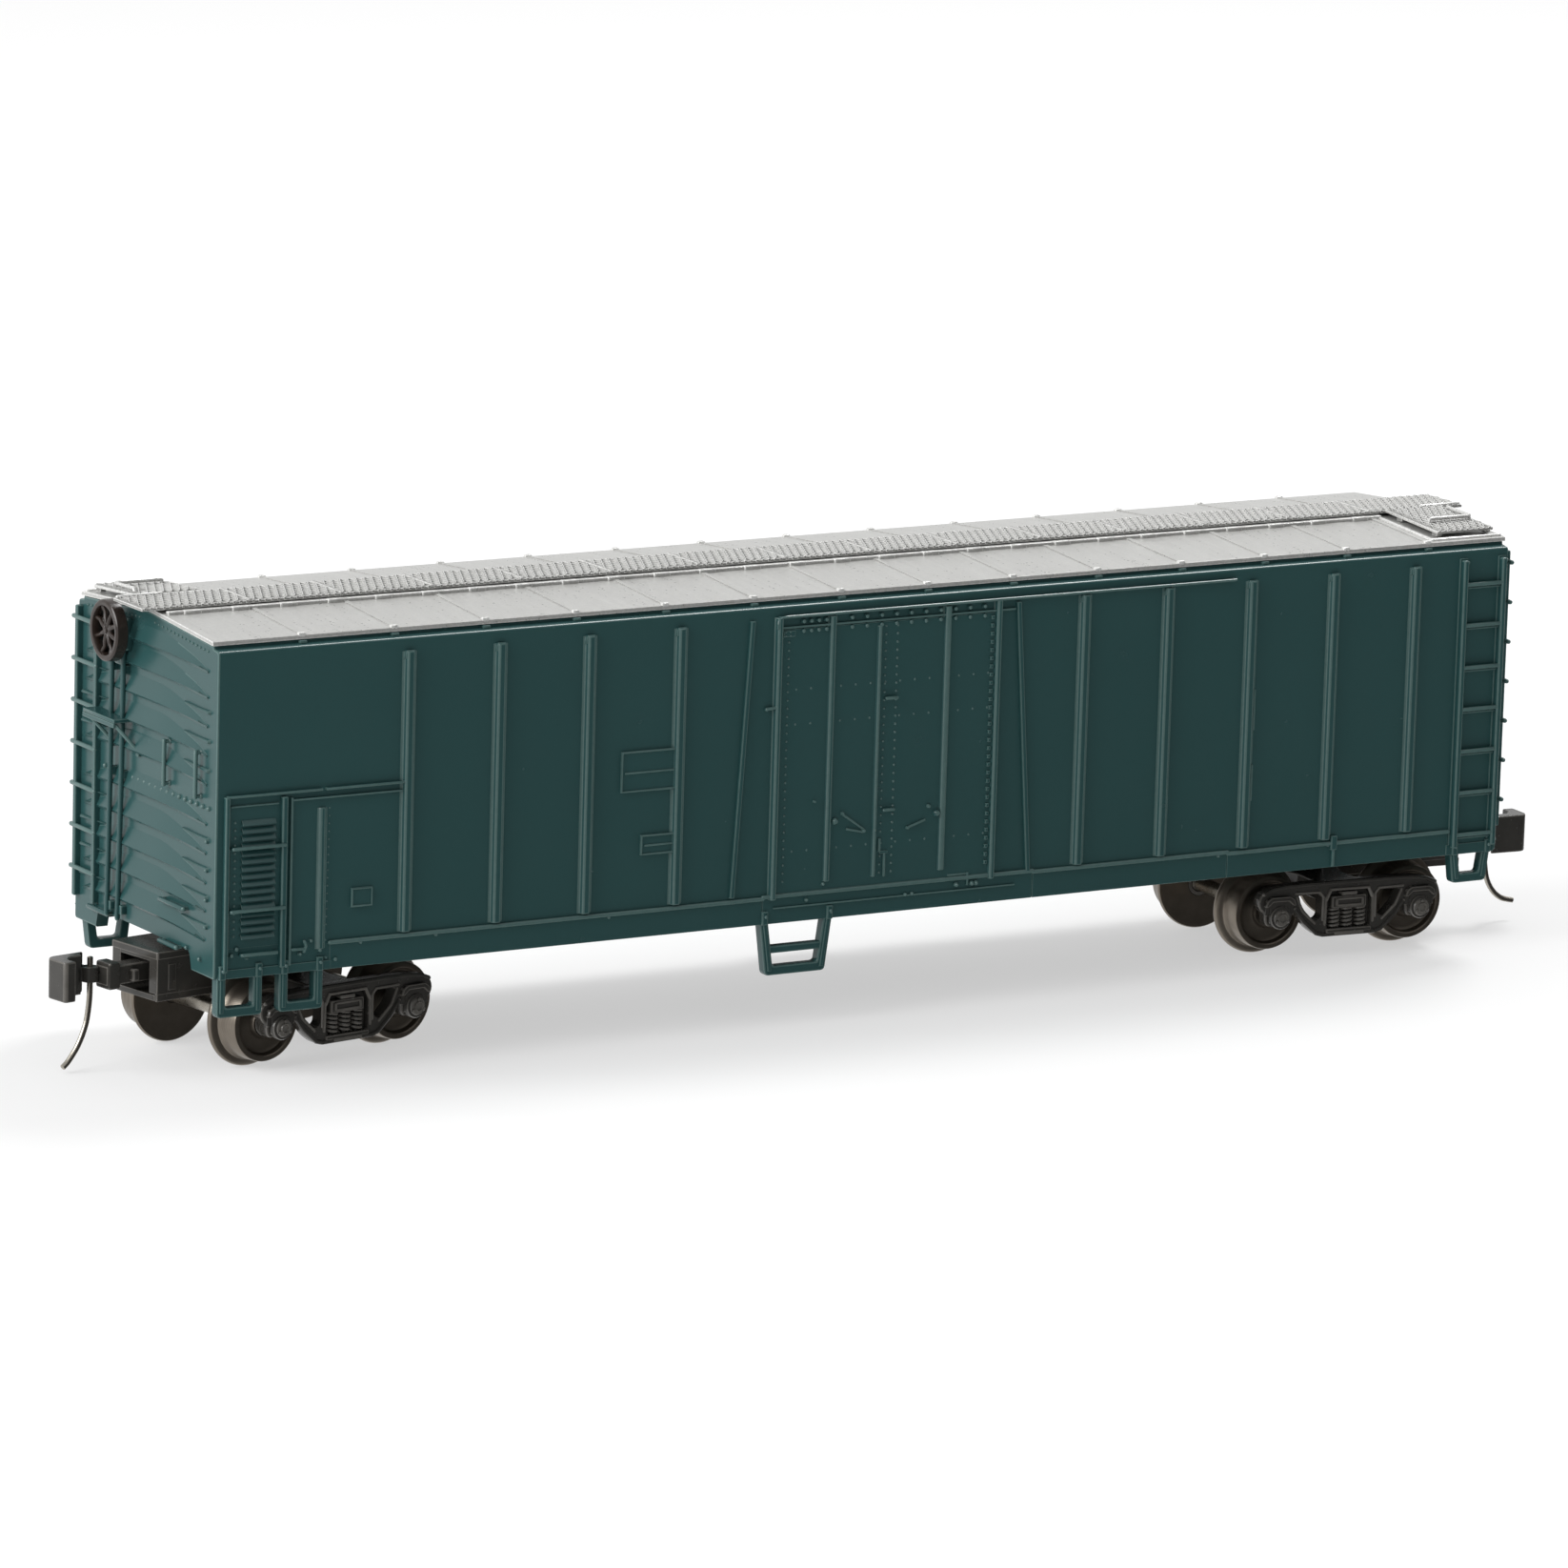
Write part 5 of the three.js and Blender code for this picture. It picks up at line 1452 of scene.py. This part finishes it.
def addSideFrame(made):
    # the near side frame of a truck that faces +X, centred on its pivot
    inner, outer = -sideFrame["inner"], -sideFrame["outer"]
    plate, tools = Mould(), Mould()
    half = sideFrame["outline"]
    outline = half + [(-u, v) for u, v in reversed(half) if u]
    plate.prism(softened(outline, 0.3, 2), "y", outer, inner, 0.13)
    for sign in (-1, 1):
        window = [(sign * u, v) for u, v in sideFrame["window"]]
        tools.prism(softened(window, 0.25, 3), "y", outer - 0.5, inner + 0.5, 0)
    tools.prism(softened(mirrored(sideFrame["springOpening"]), 0.2, 3), "y", outer - 0.5, inner + 0.5, 0)
    plate.carve(tools)
    made.add(plate.points, plate.faces)
    for path, size in sideFrame["lips"]:
        made.tube([(u, outer - 0.02, v) for u, v in mirrored(path)], size, 8)
    for sign in (-1, 1):
        for path, size, proud in sideFrame["rims"]:
            made.tube([(sign * u, outer - proud, v) for u, v in path], size, 8)
    for half, low, high, proud, behind, edge in sideFrame["pads"]:
        made.block((-half, outer - proud, low), (half, outer + behind, high), edge)
    for x in sideFrame["bolsterRibs"]:
        made.block((x - 0.1, outer - 0.16, 3.56), (x + 0.1, outer + 0.1, 4.16), 0.06)
    for x in sideFrame["springs"]:
        addSpring(made, x, outer)
    for sign in (-1, 1):
        addJournal(made, sign * sideFrame["axle"], outer, inner)


pocket = {
    "back": 6.3, "front": 11.4,        # along the truck, from its pivot
    "half": 2.4, "low": 4.55, "high": 7.75,
    "mouth": 1.5,                      # half width of the opening for the coupler
    "wall": 0.5, "inset": 0.04,
    "lip": (0.24, 0.5),                # width and height of the rim under each side
    "post": (8.9, 0.45, 5.25, 2.25),   # the coupler's pivot: along, radius, low, height
    "sidePad": (1.5, 0.9, 5.2, 6.9),   # back and front from the mouth, low, high
}


def addPocket(made):
    # the draft gear box that the coupler swings in: a stepped roof over four walls
    back, front, half, low, high = (pocket[k] for k in ("back", "front", "half", "low", "high"))
    thick, mouth, inset = pocket["wall"], pocket["mouth"], pocket["inset"]
    lip, rise = pocket["lip"]
    outline = [(back, -half), (front, -half), (front, half), (back, half)]
    made.prism(softened(outline, [0.1, 0.14, 0.14, 0.1], 3), "z", high - thick, high, 0.08)
    made.block((back + inset, -half + inset, low + 0.46),
               (back + thick, half - inset, high - thick + 0.1), 0.05)
    padBack, padFront, padLow, padHigh = pocket["sidePad"]
    for sign in (-1, 1):
        y0, y1 = sorted((sign * (half - inset), sign * (half - thick)))
        made.block((back + inset + 0.01, y0, low + 0.46),
                   (front - inset - 0.01, y1, high - thick + 0.11), 0.05)
        y0, y1 = sorted((sign * mouth, sign * (half - inset - 0.01)))
        made.block((front - thick, y0, low + 0.47), (front - inset, y1, high - thick + 0.12), 0.05)
        y0, y1 = sorted((sign * (half - lip), sign * half))
        made.block((back + 0.02, y0, low), (front - 0.01, y1, low + rise), 0.06)
        y0, y1 = sorted((sign * (half - 0.1), sign * half))
        made.block((front - padBack, y0, padLow), (front - padFront, y1, padHigh), 0.05)
    made.block((back + 0.01, -half + 0.1, low + 0.01), (back + 0.22, half - 0.1, low + rise + 0.01), 0.05)
    made.block((front - thick + 0.02, -mouth - 0.1, high - thick - 0.2),
               (front - inset - 0.02, mouth + 0.1, high - 0.1), 0.05)
    x, radius, foot, tall = pocket["post"]
    made.lathe([(0, 0), (radius, 0), (radius, tall), (0, tall)], (x, 0, foot), (0, 0, 1), 28)


truck = {
    "bolster": [(2.2, 1.6), (1.65, 3.0), (1.65, 6.7)],                  # one quarter of its outline
    "bolsterLow": 3.72, "bolsterHigh": 5.0,
    "pinHole": 0.84,
    "arm": [((1.5, -1.6, 4.2), (6.4, 1.6, 5.0), 0.12), ((5.7, -1.6, 4.2), (6.4, 1.6, 6.2), 0.12),
            ((1.6, -1.56, 3.95), (6.3, -1.24, 4.4), 0.07), ((1.6, 1.24, 3.95), (6.3, 1.56, 4.4), 0.07)],
    "lidIn": (0.3, 0.02, 0.3), "lidThick": 0.4,
    "lidBoss": [(0, -0.01), (0.5, -0.01), (0.55, 0.05), (0.55, 0.12), (0, 0.12)],
    "coil": (6.92, 0.86, 0.45, 6.175, 0.065),      # start, length, radius, height, wire
    "kingpin": [(0, 3.2), (1.0, 3.2), (1.22, 3.26), (1.3, 3.38), (1.3, 3.66), (1.26, 3.7), (0.75, 3.7),
                (0.75, 6.9), (0.6, 7.1), (0, 7.1)],
}


def castTruckFrame(end, turn):
    # two side frames, the bolster with its pin hole, and the arm out to the coupler pocket
    made = Mould()
    for side in (Matrix.Identity(4), Matrix.Scale(-1, 4, (0, 1, 0))):
        made.place = turn @ side
        addSideFrame(made)
    made.place = turn
    quarter = truck["bolster"]
    half = [(u, -v) for u, v in reversed(quarter)] + quarter
    bolster, hole = Mould(), Mould()
    outline = half + [(-u, v) for u, v in reversed(half)]
    bolster.prism(softened(outline, 0.3, 2), "z", truck["bolsterLow"], truck["bolsterHigh"], 0.12)
    radius = truck["pinHole"]
    hole.lathe([(0, -2), (radius, -2), (radius, 2), (0, 2)], (0, 0, 4.4), (0, 0, 1), 36)
    bolster.carve(hole)
    made.add(bolster.points, bolster.faces)
    for low, high, edge in truck["arm"]:
        made.block(low, high, edge)
    addPocket(made)
    made.cast(f"{end}_truck_moulding", f"{end}_truck", "black_plastic", [f"{end}_truck_frame"])


def castTruckFittings(end, turn):
    # the pocket's lid and centring coil, and the kingpin
    lid, coil, pin = Mould(), Mould(), Mould()
    for part in (lid, coil, pin):
        part.place = turn
    low = span("a_pocket_lid")[0].z
    insets = truck["lidIn"]
    back, front, half = pocket["back"] + insets[0], pocket["front"] - insets[1], pocket["half"] - insets[2]
    outline = [(back, -half), (front, -half), (front, half), (back, half)]
    lid.prism(softened(outline, 0.2, 3), "z", low, low + truck["lidThick"], 0.06)
    lid.lathe(truck["lidBoss"], (pocket["post"][0], 0, low), (0, 0, 1), 24)
    lid.cast(f"{end}_pocket_cover", f"{end}_truck", "black_plastic", [f"{end}_pocket_lid"])
    start, length, radius, height, wire = truck["coil"]
    turns, steps = 3, 16
    path = []
    for k in range(turns * steps + 1):
        angle = math.tau * k / steps
        path.append((start + length * k / (turns * steps), radius * math.cos(angle),
                     height + radius * math.sin(angle)))
    coil.tube(path, wire, 8)
    coil.cast(f"{end}_centring_coil", f"{end}_truck", "bright_steel", [f"{end}_centring_spring"])
    pin.lathe(truck["kingpin"], (0, 0, 0), (0, 0, 1), 40)
    pin.cast(f"{end}_kingpin_peg", "car_body", "black_plastic", [f"{end}_kingpin"])


headShape = {
    "back": 13.7, "front": 14.6,       # along the truck, from its pivot
    "half": 1.3, "guard": 15.3,
    "low": 4.9, "high": 7.5,
    "pivotX": 14.35, "pivotY": -0.72,
    "slot": (5.7, 6.7),                # heights between which the knuckle's tail turns
    "ring": [(0.5, 5.55), (0.96, 5.55), (1.0, 5.6), (1.0, 6.75), (0.96, 6.8), (0.5, 6.8)],
    "barrel": 0.6, "pinHole": 0.26,
    # the knuckle's outline, beyond its pivot
    "hook": [(16.9, -1.55), (17.3, -1.15), (17.3, 0.5), (17.15, 0.65), (16.45, 0.65), (16.45, -0.25),
             (15.95, -0.75)],
    "hookClear": 0.68,
    "tail": 0.56, "tailEnds": (5.73, 6.67),
    "wire": 0.19,
    "wireTop": [(0, 7.28), (0, 6.0), (0, 4.9), (0.08, 4.0)],            # ahead of the pivot, height
}


def smoothPath(knots, steps):
    # a curve through all of the knots
    path = []
    for k in range(len(knots) - 1):
        a, b, c, d = knots[max(k - 1, 0)], knots[k], knots[k + 1], knots[min(k + 2, len(knots) - 1)]
        for s in range(steps):
            t = s / steps
            bend = (2 * a - 5 * b + 4 * c - d) * t * t + (3 * b - a - 3 * c + d) * t ** 3
            path.append(0.5 * (2 * b + (c - a) * t + bend))
    return path + [knots[-1]]


def drum(made, radius, low, high, turns):
    # an upright cylinder on the knuckle's pivot
    place = (headShape["pivotX"], headShape["pivotY"], 0)
    made.lathe([(0, low), (radius, low), (radius, high), (0, high)], place, (0, 0, 1), turns)


def castShank(end, turn):
    low, high, px, py = (headShape[k] for k in ("low", "high", "pivotX", "pivotY"))
    back, front, half, guard = (headShape[k] for k in ("back", "front", "half", "guard"))
    made, head, tools, shank = Mould(), Mould(), Mould(), Mould()
    made.lathe(headShape["ring"], (pocket["post"][0], 0, 0), (0, 0, 1), 36, closed=True)
    made.block((9.55, -0.6, 5.55), (back + 0.25, 0.6, 6.8), 0.1)
    made.block((back - 0.7, -0.75, 5.3), (back + 0.2, 0.75, 7.05), 0.15)
    made.block((back - 2.0, 0.45, 5.7), (back - 1.5, 1.0, 6.5), 0.12)
    outline = [(back, -half), (px, -half), (px + 0.18, -half + 0.1), (px + 0.3, -0.1), (front, -0.1),
               (front, 0.5),
               (guard, half - 0.25), (guard, half), (back, half)]
    soft = [0.25, 0.3, 0.2, 0.1, 0.02, 0.2, 0.1, 0.1, 0.35]
    head.prism(softened(outline, soft, 3), "z", low, high, 0.1)
    barrel = headShape["barrel"]
    profile = [(0, low), (barrel - 0.04, low), (barrel, low + 0.05), (barrel, high - 0.05),
               (barrel - 0.04, high), (0, high)]
    head.lathe(profile, (px, py, 0), (0, 0, 1), 32)
    slotLow, slotHigh = headShape["slot"]
    tools.block((back - 0.02, -half - 1, slotLow), (guard + 1, -0.1, slotHigh), 0.02)
    drum(tools, headShape["pinHole"], low - 1, high + 1, 24)
    head.carve(tools)
    made.add(head.points, head.faces)
    shank.place = turn
    shank.add(made.points, made.faces)
    shank.cast(f"{end}_coupler_body", f"{end}_coupler", "black_plastic", [f"{end}_coupler_shank"])


def castKnuckle(end, turn):
    # it hooks round to face the next car's
    low, high, px = (headShape[k] for k in ("low", "high", "pivotX"))
    tailLow, tailHigh = headShape["tailEnds"]
    hook, clear, knuckle = Mould(), Mould(), Mould()
    outline = [(px + 0.1, -1.55)] + headShape["hook"] + [(px + 0.1, -0.75)]
    soft = [0.05, 0.35, 0.35, 0.12, 0.12, 0.1, 0.3, 0.3, 0.05]
    hook.prism(softened(outline, soft, 4), "z", low, high, 0.1)
    drum(clear, headShape["hookClear"], low - 1, high + 1, 40)
    hook.carve(clear)
    drum(hook, headShape["tail"], tailLow, tailHigh, 32)
    hook.block((px, -1.45, tailLow), (px + 0.9, -0.75, tailHigh), 0.02)
    knuckle.place = turn
    knuckle.add(hook.points, hook.faces)
    knuckle.cast(f"{end}_knuckle_jaw", f"{end}_knuckle", "black_plastic", [f"{end}_knuckle"])


def castTripPin(end, turn, bends):
    # a steel wire that bends away under the head
    wire = Mould()
    wire.place = turn
    px, py = headShape["pivotX"], headShape["pivotY"]
    knots = [Vector((px + x, py, z)) for x, z in headShape["wireTop"] + bends]
    wire.tube(smoothPath(knots, 6), headShape["wire"], 14, 0.25)
    wire.cast(f"{end}_trip_wire", f"{end}_knuckle", "bright_steel", [f"{end}_trip_pin"])


tripBends = {
    "b": [(0.3, 2.9), (0.85, 1.7), (1.6, 0.75), (2.05, 0.38)],
    "a": [(0.3, 2.95), (0.8, 2.1), (1.5, 1.55), (2.4, 1.32)],
}


def castRunningGear():
    for end in ("a", "b"):
        place, nose = pivot(f"{end}_truck_swivel"), pivot(f"{end}_coupler_swing")
        heading = math.atan2(nose.y - place.y, nose.x - place.x)
        turn = Matrix.Translation((place.x, 0, 0)) @ Matrix.Rotation(heading, 4, "Z")
        castTruckFrame(end, turn)
        castTruckFittings(end, turn)
        castShank(end, turn)
        castKnuckle(end, turn)
        castTripPin(end, turn, tripBends[end])
        for row in ("outer", "inner"):
            castWheelset(end, row, pivot(f"{end}_{row}_axle_roll"), heading)
        print("truck", end, "cast")


castBody()
castRoof()
castRunningBoard()
castBrakeWheel()
castFloor()
castRunningGear()

# the ballast plate keeps its frame shape, with a bare steel finish
weight = frame["nodes"]["ballast_plate"]
weight.data.materials.clear()
weight.data.materials.append(finishes["bright_steel"])

stage = {
    "floorSize": 12.0,
    "floorTone": 0.42,
    "floorGlow": 0.53,
}


def layFloor():
    made = bpy.data.meshes.new("studio_floor")
    half = stage["floorSize"] / 2
    corners = [(-half, -half, 0), (half, -half, 0), (half, half, 0), (-half, half, 0)]
    made.from_pydata(corners, [], [(0, 1, 2, 3)])
    floor = bpy.data.objects.new("studio_floor", made)
    bpy.context.scene.collection.objects.link(floor)
    tone, glow = stage["floorTone"], stage["floorGlow"]
    paper = Finish("white paper", Roughness=0.9, Specular_IOR_Level=0.0, Emission_Strength=glow,
                   Base_Color=(tone, tone, tone, 1), Emission_Color=(1, 1, 1, 1))
    made.materials.append(paper.material)
    floor.visible_glossy = False


lights = {
    "sky": 0.66,                       # brightness overhead, of the walls, and of the side behind the camera
    "skyFrom": (0.35, 0.8),
    "walls": 0.75,
    "lowGlow": 0.1,
    "dimWall": 0.06,
    "dimSide": (0.51, -0.86, 0.0),
    "dimFrom": (-0.1, 0.55),
    # name: (place in metres, aimed at, size, watts)
    "key": ((-0.62, 0.02, 0.34), (-0.03, 0, 0.015), (0.5, 0.42), 3.8),
    "top": ((0.36, 0.20, 0.58), (0, 0, 0.02), (0.24, 0.24), 2.6),
}


def hangLights():
    for name in ("key", "top"):
        place, aim, size, watts = lights[name]
        lamp = bpy.data.lights.new(name + "_softbox", "AREA")
        lamp.shape, lamp.size, lamp.size_y, lamp.energy = "RECTANGLE", *size, watts
        hung = bpy.data.objects.new(name + "_softbox", lamp)
        bpy.context.scene.collection.objects.link(hung)
        hung.location = place
        hung.rotation_mode = "QUATERNION"
        hung.rotation_quaternion = (Vector(aim) - Vector(place)).to_track_quat("-Z", "Y")
    world = bpy.data.worlds.new("soft room")
    bpy.context.scene.world = world
    room = Recipe(world)
    glow = next(n for n in room.tree.nodes if n.type == "BACKGROUND")
    glow.inputs["Color"].default_value = (1, 1, 1, 1)
    way = room.node("ShaderNodeTexCoord", output="Generated")
    towardFront = room.node("ShaderNodeVectorMath", {"operation": "DOT_PRODUCT"},
                            {0: way, 1: lights["dimSide"]}, "Value")
    upward = room.node("ShaderNodeVectorMath", {"operation": "DOT_PRODUCT"}, {0: way, 1: (0, 0, 1)}, "Value")
    low, high = lights["dimFrom"]
    dim = room.node("ShaderNodeMapRange", {"interpolation_type": "SMOOTHSTEP"},
                    {0: towardFront, 1: low, 2: high})
    low, high = lights["skyFrom"]
    overhead = room.node("ShaderNodeMapRange", {"interpolation_type": "SMOOTHSTEP"},
                         {0: upward, 1: low, 2: high})
    below = room.node("ShaderNodeMapRange", {}, {0: upward, 1: 0.02, 2: -0.12})
    walls = (lights["walls"] + lights["lowGlow"] * below) * (1 - dim) + lights["dimWall"] * dim
    room.tree.links.new((walls * (1 - overhead) + lights["sky"] * overhead).socket, glow.inputs["Strength"])


# where the camera stands, in millimetres and degrees
eye = {
    "place": (-313.504, -522.124, 141.130),
    "azimuth": -30.844,
    "elevation": 11.824,
    "roll": 1.656,
    "lens": 216.6,
}


def setCamera():
    lens = bpy.data.cameras.new("camera")
    lens.sensor_width, lens.lens = 36, eye["lens"]
    lens.clip_start, lens.clip_end = 0.01, 50
    camera = bpy.data.objects.new("camera", lens)
    bpy.context.scene.collection.objects.link(camera)
    azimuth, elevation, roll = (math.radians(eye[k]) for k in ("azimuth", "elevation", "roll"))
    back = Vector((math.sin(azimuth) * math.cos(elevation), -math.cos(azimuth) * math.cos(elevation),
                   math.sin(elevation)))
    right = Vector((math.cos(azimuth), math.sin(azimuth), 0))
    up = back.cross(right)
    rightTurned = right * math.cos(roll) + up * math.sin(roll)
    upTurned = up * math.cos(roll) - right * math.sin(roll)
    turned = Matrix((rightTurned, upTurned, back)).transposed().to_4x4()
    camera.matrix_world = Matrix.Translation(Vector(eye["place"]) * mm) @ turned
    bpy.context.scene.camera = camera


layFloor()
hangLights()
setCamera()
bpy.context.scene.view_settings.view_transform = "Standard"
print("stage set")
